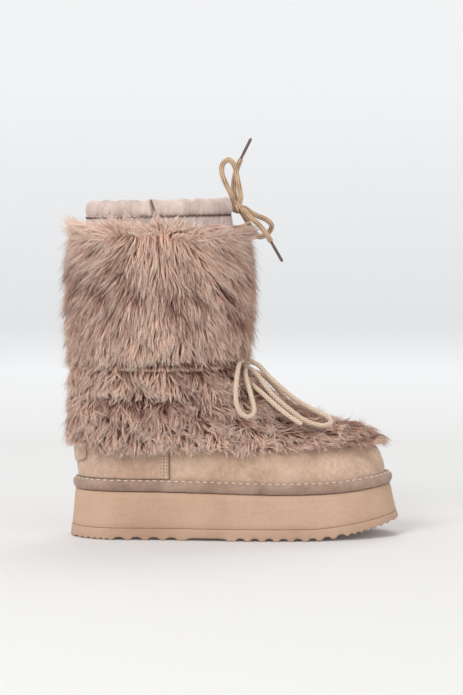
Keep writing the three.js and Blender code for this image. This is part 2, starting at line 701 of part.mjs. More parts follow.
// The drawcord's run through the casing, from the knot round to the knot.
function drawcordRun() {
  const slack = casingThickness / 2 - casingWall - drawcordRadius - 2.3 * clearance;
  return tube([collarKnot, ...casingPath(slack), collarKnot], drawcordRadius, 12);
}

const materials = {
  suede: { color: 0xcba990, roughness: 0.95, metalness: 0 },
  binding: { color: 0xaa8e7b, roughness: 0.95, metalness: 0 },
  foam: { color: 0xd1af94, roughness: 0.8, metalness: 0 },
  rubber: { color: 0xc29f85, roughness: 0.75, metalness: 0 },
  fur: { color: 0xa98a7c, roughness: 1, metalness: 0 },
  nylon: { color: 0xceb8ae, roughness: 0.6, metalness: 0 },
  lining: { color: 0xd8c6b4, roughness: 1, metalness: 0 },
  lace: { color: 0xe0c8a8, roughness: 0.85, metalness: 0 },
  drawcord: { color: 0xb89c78, roughness: 0.8, metalness: 0 },
  aglet: { color: 0x6b554c, roughness: 0.45, metalness: 0 },
};

const boot = new THREE.Group();

function add(name, geometry, material) {
  const mesh = new THREE.Mesh(geometry, new THREE.MeshStandardMaterial(materials[material]));
  mesh.name = name;
  boot.add(mesh);
}

add("outsole", outsole(), "rubber");
add("midsole", midsole(), "foam");
add("welt", welt(), "binding");
add("insole", insole(), "lining");
add("upper", upper(), "suede");
add("heel_counter", heelCounter(0), "suede");
add("heel_tab", heelTab(0), "suede");
add("collar", collar(), "nylon");

const ankleAxis = new THREE.Vector3(0.35, 1, 0.1);
const collarAxis = new THREE.Vector3(0.9, 0, 0.45);
const grown = 1 + clearance / knotRadius;
const knots = {
  lace_knot: { at: ankleKnot, axis: ankleAxis, material: "lace" },
  drawcord_knot: { at: collarKnot, axis: collarAxis, material: "drawcord" },
};
const seats = Object.fromEntries(
  Object.entries(knots).map(([name, { at, axis }]) => [
    name,
    solidOf(knot(at, axis, knotRadius * grown, knotLength * grown)),
  ]),
);
for (const [name, { at, axis, material }] of Object.entries(knots)) {
  add(name, knot(at, axis, knotRadius, knotLength), material);
}

// The piece of a cord that lies outside its knot: the largest one that is left.
function trimmed(geometry, seat) {
  const left = solidOf(geometry).subtract(seat).decompose();
  left.sort((a, b) => b.volume() - a.volume());
  return geometryFrom(left[0]);
}

// What presses the fur down: laces and overlays, each grown by the gap.
const pressed = [solidOf(heelCounter(clearance)), solidOf(heelTab(clearance)), seats.lace_knot];

add("ankle_tie", trimmed(ankleTie(laceRadius), seats.lace_knot), "lace");
add("drawcord_run", trimmed(drawcordRun(), seats.drawcord_knot), "drawcord");
pressed.push(solidOf(ankleTie(laceRadius + clearance)));

function addCords(routes, radius, seat, start, material) {
  for (const [name, route] of Object.entries(routes)) {
    const middle = [start, ...route.map((point) => new THREE.Vector3(...point))];
    const points = name.includes("loop") ? [...middle, start] : middle;
    add(name, trimmed(tube(points, radius, 10), seat), material);
    pressed.push(solidOf(tube(points, radius + clearance, 10)));
    if (agletDirections[name]) {
      add(name.replace("_end_", "_aglet_"), aglet(route, agletDirections[name], radius, 0), "aglet");
      pressed.push(solidOf(aglet(route, agletDirections[name], radius, clearance)));
    }
  }
}
addCords(laceRoutes, laceRadius, seats.lace_knot, ankleKnot, "lace");
addCords(drawcordRoutes, drawcordRadius, seats.drawcord_knot, collarKnot, "drawcord");

for (const [name, tier] of Object.entries(tiers)) add(name, geometryFrom(furTier(tier, pressed)), "fur");

export default boot;
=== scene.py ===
import json
import math

import bpy
import numpy as np
from mathutils import Matrix, Vector
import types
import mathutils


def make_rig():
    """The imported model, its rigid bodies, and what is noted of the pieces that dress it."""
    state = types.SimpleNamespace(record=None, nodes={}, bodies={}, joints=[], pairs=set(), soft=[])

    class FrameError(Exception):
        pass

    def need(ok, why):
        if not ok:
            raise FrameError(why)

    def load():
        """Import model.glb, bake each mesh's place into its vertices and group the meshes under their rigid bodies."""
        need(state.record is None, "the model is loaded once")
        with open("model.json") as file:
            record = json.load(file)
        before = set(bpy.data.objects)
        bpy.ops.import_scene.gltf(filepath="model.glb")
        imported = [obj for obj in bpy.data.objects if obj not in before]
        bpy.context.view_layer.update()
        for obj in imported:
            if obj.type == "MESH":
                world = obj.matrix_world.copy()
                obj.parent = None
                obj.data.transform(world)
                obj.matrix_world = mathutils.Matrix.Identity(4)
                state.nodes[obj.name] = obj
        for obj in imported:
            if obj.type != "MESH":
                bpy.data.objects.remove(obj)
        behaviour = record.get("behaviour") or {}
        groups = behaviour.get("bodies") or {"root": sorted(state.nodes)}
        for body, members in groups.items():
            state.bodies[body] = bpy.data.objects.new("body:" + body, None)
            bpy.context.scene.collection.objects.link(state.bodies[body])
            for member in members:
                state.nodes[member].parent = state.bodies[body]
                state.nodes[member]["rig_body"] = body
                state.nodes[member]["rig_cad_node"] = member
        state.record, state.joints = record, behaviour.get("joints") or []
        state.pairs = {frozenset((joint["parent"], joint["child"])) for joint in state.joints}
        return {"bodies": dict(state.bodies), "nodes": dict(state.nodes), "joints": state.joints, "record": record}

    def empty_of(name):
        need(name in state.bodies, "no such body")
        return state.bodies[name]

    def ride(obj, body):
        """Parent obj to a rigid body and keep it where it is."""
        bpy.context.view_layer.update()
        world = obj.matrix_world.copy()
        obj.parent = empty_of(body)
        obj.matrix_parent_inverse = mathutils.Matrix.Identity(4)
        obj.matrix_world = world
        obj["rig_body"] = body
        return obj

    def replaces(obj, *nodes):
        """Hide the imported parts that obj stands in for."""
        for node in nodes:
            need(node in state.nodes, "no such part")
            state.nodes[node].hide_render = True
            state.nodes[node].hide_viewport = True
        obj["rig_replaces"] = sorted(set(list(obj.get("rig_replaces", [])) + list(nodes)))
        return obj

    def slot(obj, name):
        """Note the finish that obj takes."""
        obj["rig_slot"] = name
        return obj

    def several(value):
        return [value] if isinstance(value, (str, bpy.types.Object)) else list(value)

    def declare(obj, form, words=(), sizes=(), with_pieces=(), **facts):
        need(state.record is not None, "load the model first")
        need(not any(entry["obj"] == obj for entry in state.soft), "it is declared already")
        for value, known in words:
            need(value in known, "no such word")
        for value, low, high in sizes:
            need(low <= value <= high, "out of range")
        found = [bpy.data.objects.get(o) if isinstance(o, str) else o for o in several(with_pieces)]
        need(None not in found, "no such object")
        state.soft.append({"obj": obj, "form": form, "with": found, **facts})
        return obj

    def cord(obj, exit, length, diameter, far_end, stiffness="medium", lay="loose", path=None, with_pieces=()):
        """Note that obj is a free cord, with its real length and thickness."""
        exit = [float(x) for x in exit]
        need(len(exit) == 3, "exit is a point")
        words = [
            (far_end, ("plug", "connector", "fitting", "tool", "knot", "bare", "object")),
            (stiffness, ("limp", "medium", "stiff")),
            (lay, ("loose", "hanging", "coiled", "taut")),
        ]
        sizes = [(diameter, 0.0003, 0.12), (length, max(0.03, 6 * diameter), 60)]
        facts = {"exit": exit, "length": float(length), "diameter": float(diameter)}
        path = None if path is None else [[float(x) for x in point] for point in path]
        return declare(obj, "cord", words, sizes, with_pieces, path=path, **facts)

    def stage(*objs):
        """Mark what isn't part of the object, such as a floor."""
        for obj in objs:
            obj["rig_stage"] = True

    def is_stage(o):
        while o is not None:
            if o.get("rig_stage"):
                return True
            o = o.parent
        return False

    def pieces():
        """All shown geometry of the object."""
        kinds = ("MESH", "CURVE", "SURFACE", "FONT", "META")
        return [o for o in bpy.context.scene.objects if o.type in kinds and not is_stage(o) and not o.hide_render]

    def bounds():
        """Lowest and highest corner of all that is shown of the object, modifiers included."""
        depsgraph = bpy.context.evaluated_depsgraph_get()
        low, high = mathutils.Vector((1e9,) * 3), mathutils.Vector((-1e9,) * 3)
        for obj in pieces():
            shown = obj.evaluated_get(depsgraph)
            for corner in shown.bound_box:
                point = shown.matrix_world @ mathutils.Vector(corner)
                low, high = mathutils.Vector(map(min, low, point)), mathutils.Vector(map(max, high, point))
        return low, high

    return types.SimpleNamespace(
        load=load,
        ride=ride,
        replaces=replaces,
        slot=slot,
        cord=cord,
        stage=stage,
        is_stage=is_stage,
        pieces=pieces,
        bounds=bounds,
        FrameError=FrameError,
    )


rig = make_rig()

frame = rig.load()
model_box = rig.bounds()
MM = 0.001

# The boot's own sizes
FOOT_LENGTH = 0.264
BALL_WIDTH = 0.092
UPPER_HEIGHT = 0.236
WALL = 0.0026  # suede with its lining
GAP = 0.0003  # between pieces that touch
TOE_INWARD = 0.006  # how far the toe leans to the inner side
ARCH_PINCH = 0.07  # share of the half width that the inner arch loses
PLATFORM_HEIGHT = 0.041
SOLE_MARGIN = 0.005
HEEL_FLARE = 0.0039
TOE_FLARE = 0.007
TOE_SPRING = 0.0147
OUTSOLE_THICKNESS = 0.010
OUTSOLE_STEP = 0.0005
LUG_DEPTH = 0.0024
FINE_LUG_DEPTH = 0.0012
LUG_CREST = 0.0034
WELT_HEIGHT = 0.010
WELT_BULGE = 0.0018
SUEDE = 0.0012  # an overlay's thickness
COUNTER_HEIGHT = 0.182  # share of UPPER_HEIGHT
COUNTER_EDGE = -0.208  # share of FOOT_LENGTH, from the last's middle
TAB_WIDTH = 0.049
TAB_HEIGHT = 0.017
FUR_BACK = 0.0045  # how far the fur stands behind the sole
SLEEVE_WALL = 0.0016
SLEEVE_HEIGHT = 0.020
CASING_HEIGHT = 0.0155
CASING_THICKNESS = 0.009
CASING_WALL = 0.0011
CASING_MOUTH = 0.013
LACE_RADIUS = 0.0021
DRAWCORD_RADIUS = 0.00225
KNOT_RADIUS = 0.005
AGLET_RADIUS = 0.0013
AGLET_LENGTH = 0.020
SOLE_LENGTH = FOOT_LENGTH + 2 * SOLE_MARGIN + HEEL_FLARE + TOE_FLARE
HEEL_X = FUR_BACK - (SOLE_LENGTH + FUR_BACK) / 2
LAST_MIDDLE = HEEL_X + HEEL_FLARE + SOLE_MARGIN + FOOT_LENGTH / 2

# Sections of the upper: rise, back, front, rear and fore half widths, heel and toe caps, share of the lean.
SECTIONS = np.array([
    (0, -0.5, 0.5, 0.353, 0.489, 0.15, 0.3, 1),
    (0.0341, -0.503, 0.5015, 0.363, 0.502, 0.155, 0.31, 1),
    (0.0682, -0.506, 0.5, 0.37, 0.505, 0.16, 0.32, 1),
    (0.1072, -0.51, 0.4905, 0.376, 0.496, 0.162, 0.36, 0.97),
    (0.1413, -0.5125, 0.475, 0.38, 0.476, 0.165, 0.42, 0.93),
    (0.1706, -0.5136, 0.449, 0.383, 0.448, 0.172, 0.48, 0.88),
    (0.192, -0.514, 0.41, 0.386, 0.425, 0.18, 0.53, 0.82),
    (0.2095, -0.514, 0.352, 0.388, 0.409, 0.19, 0.57, 0.74),
    (0.2339, -0.514, 0.286, 0.39, 0.398, 0.21, 0.6, 0.62),
    (0.2631, -0.513, 0.219, 0.392, 0.393, 0.24, 0.61, 0.48),
    (0.2992, -0.512, 0.157, 0.398, 0.398, 0.28, 0.61, 0.33),
    (0.3362, -0.51, 0.104, 0.407, 0.407, 0.33, 0.59, 0.2),
    (0.3733, -0.507, 0.056, 0.42, 0.42, 0.4, 0.56, 0.1),
    (0.4093, -0.504, 0.021, 0.436, 0.436, 0.46, 0.53, 0.03),
    (0.4493, -0.502, 0.003, 0.446, 0.446, 0.5, 0.5, 0),
    (0.497, -0.504, 0.0114, 0.467, 0.467, 0.5, 0.5, 0),
    (0.5896, -0.5076, 0.0227, 0.5, 0.5, 0.5, 0.5, 0),
    (0.6949, -0.5076, 0.0265, 0.516, 0.516, 0.5, 0.5, 0),
    (0.8089, -0.5, 0.021, 0.516, 0.516, 0.5, 0.5, 0),
    (0.9064, -0.4886, 0.0076, 0.505, 0.505, 0.5, 0.5, 0),
    (1, -0.479, -0.004, 0.495, 0.495, 0.5, 0.5, 0),
])
TOP = len(SECTIONS) - 1
# Height of the platform's top, a share of PLATFORM_HEIGHT, at shares of SOLE_LENGTH
PLATFORM_AT = (0, 0.18, 0.42, 0.65, 0.83, 1)
PLATFORM_SHARE = (1.015, 1.01, 0.99, 0.96, 0.995, 1.13)
# Ripples of the tread: from and to, as shares of SOLE_LENGTH, valleys and depth
TREAD = [
    (0.012, 0.125, 6, FINE_LUG_DEPTH),
    (0.125, 0.335, 4, LUG_DEPTH),
    (0.345, 0.485, 1, LUG_DEPTH * 0.9),
    (0.495, 0.84, 8, LUG_DEPTH),
    (0.84, 0.985, 7, FINE_LUG_DEPTH),
]
# Heights of the fur's tiers and of the ankle lace, as shares of UPPER_HEIGHT
VAMP_FOOT, ANKLE_FOOT, TIE, SHAFT_FOOT, SHAFT_TOP = 0.1525, 0.328, 0.449, 0.462, 0.955
SLEEVE_FOOT = 1 - SLEEVE_HEIGHT / UPPER_HEIGHT


def smooth(value, low, high):
    t = np.clip((value - low) / (high - low), 0, 1)
    return t * t * (3 - 2 * t)


def curve_through(values, level):
    """A table's column at real-numbered rows, on a smooth curve through the rows."""
    values = np.asarray(values, float)
    slopes = np.gradient(values)
    level = np.asarray(level, float)
    i = np.clip(np.floor(level).astype(int), 0, len(values) - 2)
    t = level - i
    a, b, da, db = values[i], values[i + 1], slopes[i], slopes[i + 1]
    rise = b - a
    return a + t * (da + t * (3 * rise - 2 * da - db + t * (da + db - 2 * rise)))


def platform_top(x):
    share = np.clip((x - HEEL_X) / SOLE_LENGTH, 0, 1)
    rows = np.linspace(0, len(PLATFORM_AT) - 1, 200)
    level = np.interp(share, curve_through(PLATFORM_AT, rows), rows)
    return PLATFORM_HEIGHT * curve_through(PLATFORM_SHARE, level)


def spring_at(x):
    share = np.clip((x - HEEL_X) / SOLE_LENGTH, 0, 1)
    return TOE_SPRING * np.maximum(0, (share - 0.72) / 0.28) ** 1.5


def outsole_top(x):
    return OUTSOLE_THICKNESS + 0.75 * spring_at(x)


def cap(share):
    return np.sqrt(np.maximum(0, 1 - np.maximum(0, 1 - share) ** 2))


LEVELS = np.linspace(0, TOP, 801)
RISES = curve_through(SECTIONS[:, 0], LEVELS)


def level_of(rise):
    return np.interp(rise, RISES, LEVELS)


def on_last(angle, level):
    """Points of the upper's outside. The angle is 0 at the heel, goes round the outer side and is pi at the toe."""
    angle, level = np.broadcast_arrays(np.asarray(angle, float), np.asarray(level, float))
    rise, back, front, rear, fore, heel_cap, toe_cap, curve = [
        curve_through(SECTIONS[:, k], level) for k in range(8)
    ]
    t = (1 - np.cos(angle)) / 2
    side = np.where(np.sin(angle) < 0, 1.0, -1.0)
    broad = (rear + (fore - rear) * smooth(t, 0.16, 0.66)) * BALL_WIDTH
    arch = np.where(side > 0, 1 - ARCH_PINCH * curve * np.exp(-(((t - 0.42) / 0.15) ** 2)), 1.0)
    half = broad * arch * cap(t / heel_cap) * cap((1 - t) / toe_cap)
    x = LAST_MIDDLE + FOOT_LENGTH * (back + (front - back) * t)
    lean = TOE_INWARD * curve * smooth(x, LAST_MIDDLE - 0.1 * FOOT_LENGTH, LAST_MIDDLE + 0.62 * FOOT_LENGTH)
    height = rise * UPPER_HEIGHT
    follow = 1 - np.clip(height / (0.25 * UPPER_HEIGHT), 0, 1)
    z = height + PLATFORM_HEIGHT + (platform_top(x) + GAP - PLATFORM_HEIGHT) * follow
    return np.stack([x, side * half + lean, z], -1)


def unit(v):
    return v / np.maximum(np.linalg.norm(v, axis=-1, keepdims=True), 1e-12)


def tangents(angle, level):
    """The steps round and up the upper for one unit of angle and of level, and the way out."""
    around = (on_last(angle + 0.02, level) - on_last(angle - 0.02, level)) / 0.04
    low, high = np.clip(level - 0.15, 0, TOP), np.clip(level + 0.15, 0, TOP)
    up = (on_last(angle, high) - on_last(angle, low)) / (high - low)[..., None]
    return around, up, unit(np.cross(around, up))


def off_last(angle, level, distance):
    """A point a distance outside the upper. On the two rims it stays at the rim's height."""
    angle, level = np.broadcast_arrays(np.asarray(angle, float), np.asarray(level, float))
    normal = tangents(angle, level)[2].copy()
    rim = (level <= 0) | (level >= TOP)
    normal[..., 2] = np.where(rim, 0, normal[..., 2])
    return on_last(angle, level) + unit(normal) * np.asarray(distance)[..., None]


def outline(angle, margin):
    """The upper's outline at the sole, grown outwards in plan."""
    at = on_last(angle, 0)
    ahead = unit((on_last(angle + 0.02, 0) - on_last(angle - 0.02, 0))[..., :2])
    margin = np.broadcast_to(np.asarray(margin, float), np.shape(at)[:-1])
    return np.stack([at[..., 0] + ahead[..., 1] * margin, at[..., 1] - ahead[..., 0] * margin], -1)


# Camera and light


def aim_at(thing, target):
    thing.rotation_euler = (Vector(target) - thing.location).to_track_quat("-Z", "Y").to_euler()


def place_camera():
    bpy.ops.object.camera_add(location=(-0.0006, -2.15, 0.29))
    camera = bpy.context.object
    aim_at(camera, (-0.0006, 0, 0.1628))
    camera.data.lens = 128.4
    camera.data.sensor_width = 36
    camera.data.clip_start = 0.05
    bpy.context.scene.camera = camera


def area_light(name, place, size, power):
    bpy.ops.object.light_add(type="AREA", location=place)
    lamp = bpy.context.object
    lamp.name = name
    lamp.data.shape = "DISK"
    lamp.data.size = size
    lamp.data.energy = power
    aim_at(lamp, (0, 0, 0.12))


place_camera()


# Making pieces


def let_go():
    if bpy.context.object and bpy.context.object.mode != "OBJECT":
        bpy.ops.object.mode_set(mode="OBJECT")
    bpy.ops.object.select_all(action="DESELECT")


def only(piece):
    let_go()
    piece.select_set(True)
    bpy.context.view_layer.objects.active = piece


def edit_all(step):
    """Run an editing step on all of the active mesh, in edit mode."""
    bpy.ops.object.mode_set(mode="EDIT")
    bpy.ops.mesh.select_all(action="SELECT")
    step()
    bpy.ops.object.mode_set(mode="OBJECT")


def face_outwards():
    bpy.ops.mesh.normals_make_consistent(inside=False)


def weld_edges():
    bpy.ops.mesh.remove_doubles(threshold=2e-6)
    bpy.ops.mesh.dissolve_degenerate(threshold=1e-7)
    face_outwards()


def sheet_of(name, points, weld=True):
    """A grid laid on rows of points, welded where its edges meet. Its UV runs across and along it, 0 to 1."""
    rows, columns = points.shape[:2]
    let_go()
    bpy.ops.mesh.primitive_grid_add(x_subdivisions=columns - 1, y_subdivisions=rows - 1, size=1, calc_uvs=True)
    piece = bpy.context.object
    piece.name = name
    piece.data.name = name
    piece.data.vertices.foreach_set("co", np.asarray(points, float).reshape(-1))
    piece.data.update()
    if weld:
        edit_all(weld_edges)
    bpy.ops.object.shade_smooth()
    return piece


def finish_with(piece, kind, **settings):
    only(piece)
    modifier = piece.modifiers.new(kind.title(), kind)
    for name, value in settings.items():
        setattr(modifier, name, value)
    bpy.ops.object.modifier_apply(modifier=modifier.name)


def dress(piece, material, slot, *nodes):
    piece.data.materials.clear()
    for one in material if isinstance(material, (list, tuple)) else [material]:
        piece.data.materials.append(one)
    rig.ride(piece, "root")
    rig.slot(piece, slot)
    if nodes:
        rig.replaces(piece, *nodes)
    return piece


# Finishes


class Finish:
    """A material built step by step from nodes."""

    def __init__(self, name, roughness=0.8, **sockets):
        self.material = bpy.data.materials.new(name)
        self.material.use_nodes = True
        self.tree = self.material.node_tree
        self.shader = self.tree.nodes["Principled BSDF"]
        self.shader.inputs["Roughness"].default_value = roughness
        for socket, value in sockets.items():
            self.shader.inputs[socket.replace("_", " ")].default_value = value

    def node(self, kind, **settings):
        made = self.tree.nodes.new("ShaderNode" + kind)
        for name, value in settings.items():
            setattr(made, name, value)
        return made

    def link(self, source, target):
        self.tree.links.new(source, target)

    def place(self, stretch=(1, 1, 1), turn=(0, 0, 0)):
        mapping = self.node("Mapping")
        mapping.inputs["Scale"].default_value = stretch
        mapping.inputs["Rotation"].default_value = turn
        self.link(self.node("TexCoord").outputs["Object"], mapping.inputs["Vector"])
        return mapping.outputs["Vector"]

    def noise(self, where, scale, detail=4, rough=0.6, twist=0):
        made = self.node("TexNoise")
        made.inputs["Scale"].default_value = scale
        made.inputs["Detail"].default_value = detail
        made.inputs["Roughness"].default_value = rough
        made.inputs["Distortion"].default_value = twist
        self.link(where, made.inputs["Vector"])
        return made.outputs["Fac"]

    def ramp(self, source, *stops):
        made = self.node("ValToRGB")
        for element, (at, colour) in zip(made.color_ramp.elements, (stops[0], stops[-1])):
            element.position = at
            element.color = shade(colour)
        for at, colour in stops[1:-1]:
            made.color_ramp.elements.new(at).color = shade(colour)
        self.link(source, made.inputs["Fac"])
        return made.outputs["Color"]

    def feed(self, node, values):
        """Link or set a node's inputs, by their numbers."""
        for number, value in values.items():
            if isinstance(value, bpy.types.NodeSocket):
                self.link(value, node.inputs[number])
            else:
                node.inputs[number].default_value = value
        return node

    def mix(self, share, a, b, kind="MIX"):
        return self.feed(self.node("Mix", data_type="RGBA", blend_type=kind), {0: share, 6: a, 7: b}).outputs[2]

    def maths(self, kind, a, b=0.0, c=0.0, clamp=False):
        return self.feed(self.node("Math", operation=kind, use_clamp=clamp), {0: a, 1: b, 2: c}).outputs[0]

    def blend(self, a, share, b):
        """Two fields added by shares: share of a, and the rest of b."""
        return self.maths("ADD", self.maths("MULTIPLY", a, share), self.maths("MULTIPLY", b, 1 - share))

    def split(self, source):
        made = self.node("SeparateXYZ")
        self.link(source, made.inputs["Vector"])
        return made.outputs["X"], made.outputs["Y"], made.outputs["Z"]

    def colour(self, source):
        self.link(source, self.shader.inputs["Base Color"])

    def roughness(self, source, low, high):
        spread = self.node("MapRange")
        spread.inputs["To Min"].default_value = low
        spread.inputs["To Max"].default_value = high
        self.link(source, spread.inputs["Value"])
        self.link(spread.outputs["Result"], self.shader.inputs["Roughness"])

    def bump(self, height, distance, strength=1.0, under=None):
        made = self.node("Bump")
        made.inputs["Distance"].default_value = distance
        made.inputs["Strength"].default_value = strength
        self.link(height, made.inputs["Height"])
        if under is not None:
            self.link(under, made.inputs["Normal"])
        self.link(made.outputs["Normal"], self.shader.inputs["Normal"])
        return made.outputs["Normal"]


def shade(rgb):
    """A colour written as it looks on screen, 0 to 255, for a shader."""
    return tuple((c / 255 / 12.92) if c <= 10 else ((c / 255 + 0.055) / 1.055) ** 2.4 for c in rgb) + (1,)


def suede_finish(name, deep, middle, pale, sheen=0.35):
    f = Finish(name, roughness=0.92, Sheen_Weight=sheen, Sheen_Roughness=0.5, Specular_IOR_Level=0.15)
    where = f.place()
    cloud = f.noise(where, 38, 4, 0.5, 0.5)
    nap = f.noise(f.place(stretch=(1, 1, 0.6), turn=(0, 0.5, 0)), 330, 5, 0.7, 0.6)
    grain = f.noise(where, 1500, 3, 0.7)
    base = f.ramp(cloud, (0.28, deep), (0.5, middle), (0.74, pale))
    brushed = f.ramp(nap, (0.3, (214, 211, 209)), (0.7, (255, 255, 255)))
    grainy = f.ramp(grain, (0.25, (214, 212, 210)), (0.75, (255, 255, 255)))
    f.colour(f.mix(0.8, f.mix(0.8, base, brushed, "MULTIPLY"), grainy, "MULTIPLY"))
    f.roughness(nap, 0.85, 1.0)
    soft = f.bump(nap, 0.0006, 0.5)
    f.bump(grain, 0.00025, 0.7, soft)
    return f.material


def foam_finish(name, deep, middle, pale):
    f = Finish(name, roughness=0.7, Specular_IOR_Level=0.3)
    where = f.place()
    cloud = f.noise(where, 18, 3, 0.5, 0.3)
    flow = f.noise(f.place(stretch=(0.12, 0.12, 1)), 420, 3, 0.6, 0.5)
    specks = f.noise(where, 900, 2, 0.6)
    base = f.ramp(f.blend(cloud, 0.82, flow), (0.32, deep), (0.5, middle), (0.7, pale))
    f.colour(f.mix(0.5, base, f.ramp(specks, (0.3, (225, 222, 220)), (0.6, (255, 255, 255))), "MULTIPLY"))
    f.roughness(specks, 0.6, 0.8)
    soft = f.bump(flow, 0.0004, 0.12)
    f.bump(specks, 0.0002, 0.35, soft)
    return f.material


THREADS = 2600 / 6  # scale of the nylon's weave


def cloth_finish(name, deep, middle, pale, gloss):
    f = Finish(name, roughness=gloss, Sheen_Weight=0.2, Sheen_Roughness=0.4, Specular_IOR_Level=0.4)
    where = f.place()
    cloud = f.noise(where, 60, 4, 0.6, 0.6)
    folds = f.noise(f.place(stretch=(1, 1, 0.12)), 240, 4, 0.6, 0.8)
    threads = f.node("TexWave", wave_type="BANDS", bands_direction="Z")
    threads.inputs["Scale"].default_value = THREADS
    f.link(where, threads.inputs["Vector"])
    base = f.ramp(f.blend(cloud, 0.75, folds), (0.34, deep), (0.5, middle), (0.66, pale))
    fine = f.ramp(threads.outputs["Fac"], (0.0, (232, 230, 230)), (1.0, (255, 255, 255)))
    f.colour(f.mix(0.5, base, fine, "MULTIPLY"))
    f.roughness(cloud, gloss - 0.08, gloss + 0.15)
    soft = f.bump(folds, 0.0011, 0.55)
    f.bump(threads.outputs["Fac"], 0.0001, 0.3, soft)
    return f.material


def cord_finish(name, deep, middle, pale, ribs, slant, strength):
    """A braided cord: its UV runs round it in turns and along it in metres."""
    f = Finish(name, roughness=0.75, Sheen_Weight=0.25, Sheen_Roughness=0.4, Specular_IOR_Level=0.25)
    turn, along, _ = f.split(f.node("UVMap", uv_map="UVMap").outputs["UV"])
    waves = []
    for way in (1, -1):
        slope = f.maths("MULTIPLY", along, way * slant * 2 * math.pi)
        phase = f.maths("ADD", f.maths("MULTIPLY", turn, ribs * 2 * math.pi), slope)
        waves.append(f.maths("MULTIPLY_ADD", f.maths("SINE", phase), 0.5, 0.5))
    plait = f.maths("MAXIMUM", waves[0], waves[1])
    fuzz = f.noise(f.place(), 1400, 3, 0.6)
    base = f.ramp(plait, (0.25, deep), (0.62, middle), (1.0, pale))
    f.colour(f.mix(0.7, base, f.ramp(fuzz, (0.3, (205, 203, 200)), (0.65, (255, 255, 255))), "MULTIPLY"))
    f.roughness(fuzz, 0.65, 0.9)
    ridge = f.bump(plait, 0.0005, strength)
    f.bump(fuzz, 0.0002, 0.4, ridge)
    return f.material


def thread_finish(name, deep, pale):
    f = Finish(name, roughness=0.6, Sheen_Weight=0.2, Specular_IOR_Level=0.3)
    twist = f.noise(f.place(turn=(0.6, 0.3, 0.7)), 1800, 2, 0.5)
    f.colour(f.ramp(twist, (0.35, deep), (0.65, pale)))
    f.roughness(twist, 0.5, 0.75)
    f.bump(twist, 0.0002, 0.5)
    return f.material


def pile_finish(name, deep, middle, pale):
    f = Finish(name, roughness=0.95, Sheen_Weight=0.4, Sheen_Roughness=0.6, Specular_IOR_Level=0.1)
    where = f.place()
    curl = f.node("TexVoronoi", feature="F1")
    curl.inputs["Scale"].default_value = 420
    f.link(where, curl.inputs["Vector"])
    fluff = f.noise(where, 700, 5, 0.7, 1.2)
    height = f.maths("SUBTRACT", fluff, f.maths("MULTIPLY", curl.outputs["Distance"], 0.8))
    f.colour(f.ramp(height, (0.0, deep), (0.3, middle), (0.6, pale)))
    f.roughness(fluff, 0.85, 1.0)
    f.bump(height, 0.0015, 0.9)
    return f.material


def hair_finish(name):
    """Fur. A hair's UV map holds its tone and how far along the hair a point is, from the root to the tip. Its colour
    runs from dark roots to light tips: partly the hair's own colour, partly painted shade deep in the fur.
    """
    f = Finish(name, roughness=0.55, Specular_IOR_Level=0.28, Sheen_Weight=0.12, Sheen_Roughness=0.35)
    tone, along, _ = f.split(f.node("UVMap", uv_map="OFBake").outputs["UV"])
    dark = f.ramp(
        along, (0.0, (56, 34, 26)), (0.3, (118, 75, 60)), (0.7, (178, 124, 104)), (1.0, (218, 164, 142))
    )
    fair = f.ramp(
        along, (0.0, (216, 158, 132)), (0.25, (255, 209, 184)), (0.6, (255, 225, 206)), (1.0, (255, 241, 228))
    )
    f.colour(f.mix(tone, dark, fair))
    f.roughness(along, 0.62, 0.42)
    return f.material


# The undercoat's dark brown is painted shade: the shade deep between the hairs
def undercoat_finish(name):
    f = Finish(name, roughness=0.95, Specular_IOR_Level=0.1, Sheen_Weight=0.2)
    fluff = f.noise(f.place(stretch=(1, 1, 0.25)), 500, 5, 0.7, 0.6)
    f.colour(f.ramp(fluff, (0.3, (72, 49, 38)), (0.55, (122, 91, 75)), (0.8, (164, 129, 110))))
    f.roughness(fluff, 0.9, 1.0)
    f.bump(fluff, 0.002, 0.9)
    return f.material


def tip_finish(name):
    f = Finish(name, roughness=0.4, Specular_IOR_Level=0.5, Coat_Weight=0.15)
    where = f.place()
    film = f.noise(where, 900, 3, 0.6, 0.4)
    f.colour(f.ramp(film, (0.3, (74, 54, 46)), (0.55, (104, 80, 70)), (0.75, (132, 108, 98))))
    f.roughness(film, 0.35, 0.55)
    f.bump(film, 0.0003, 0.5)
    return f.material


# Painted light: how much the paper glows everywhere, more on its far floor and more up its wall
NEAR_GLOW, FLOOR_GLOW, WALL_GLOW = 0.04, 0.045, 0.105  # of all the paper, of its far floor and of its wall


def studio_finish(name):
    """White paper with painted light: it glows more, and is paler, the further off it is, and glows more up its wall,
    as a lit wall looks.
    """
    f = Finish(name, roughness=0.9, Specular_IOR_Level=0.1, Emission_Color=(1, 1, 1, 1))
    drift = f.noise(f.place(), 1.2, 2, 0.5)
    reach = f.feed(f.node("VectorMath", operation="LENGTH"), {0: f.place()}).outputs["Value"]
    far = f.maths("DIVIDE", f.maths("SUBTRACT", reach, 0.7), 1.6, clamp=True)
    high = f.maths("DIVIDE", f.split(f.place())[2], 0.6, clamp=True)
    # Painted light: the paper's colour is paler the further off it is, with a little uneven drift
    far_light_and_drift = f.maths("ADD", f.maths("MULTIPLY", far, 0.9), f.maths("MULTIPLY", drift, 0.05), clamp=True)
    f.colour(f.ramp(far_light_and_drift, (0.1, (220, 219, 218)), (0.8, (238, 239, 240))))
    glow = f.maths("ADD", f.maths("MULTIPLY", far, FLOOR_GLOW), f.maths("MULTIPLY", high, WALL_GLOW))
    glow = f.maths("ADD", glow, NEAR_GLOW)
    f.link(glow, f.shader.inputs["Emission Strength"])
    return f.material


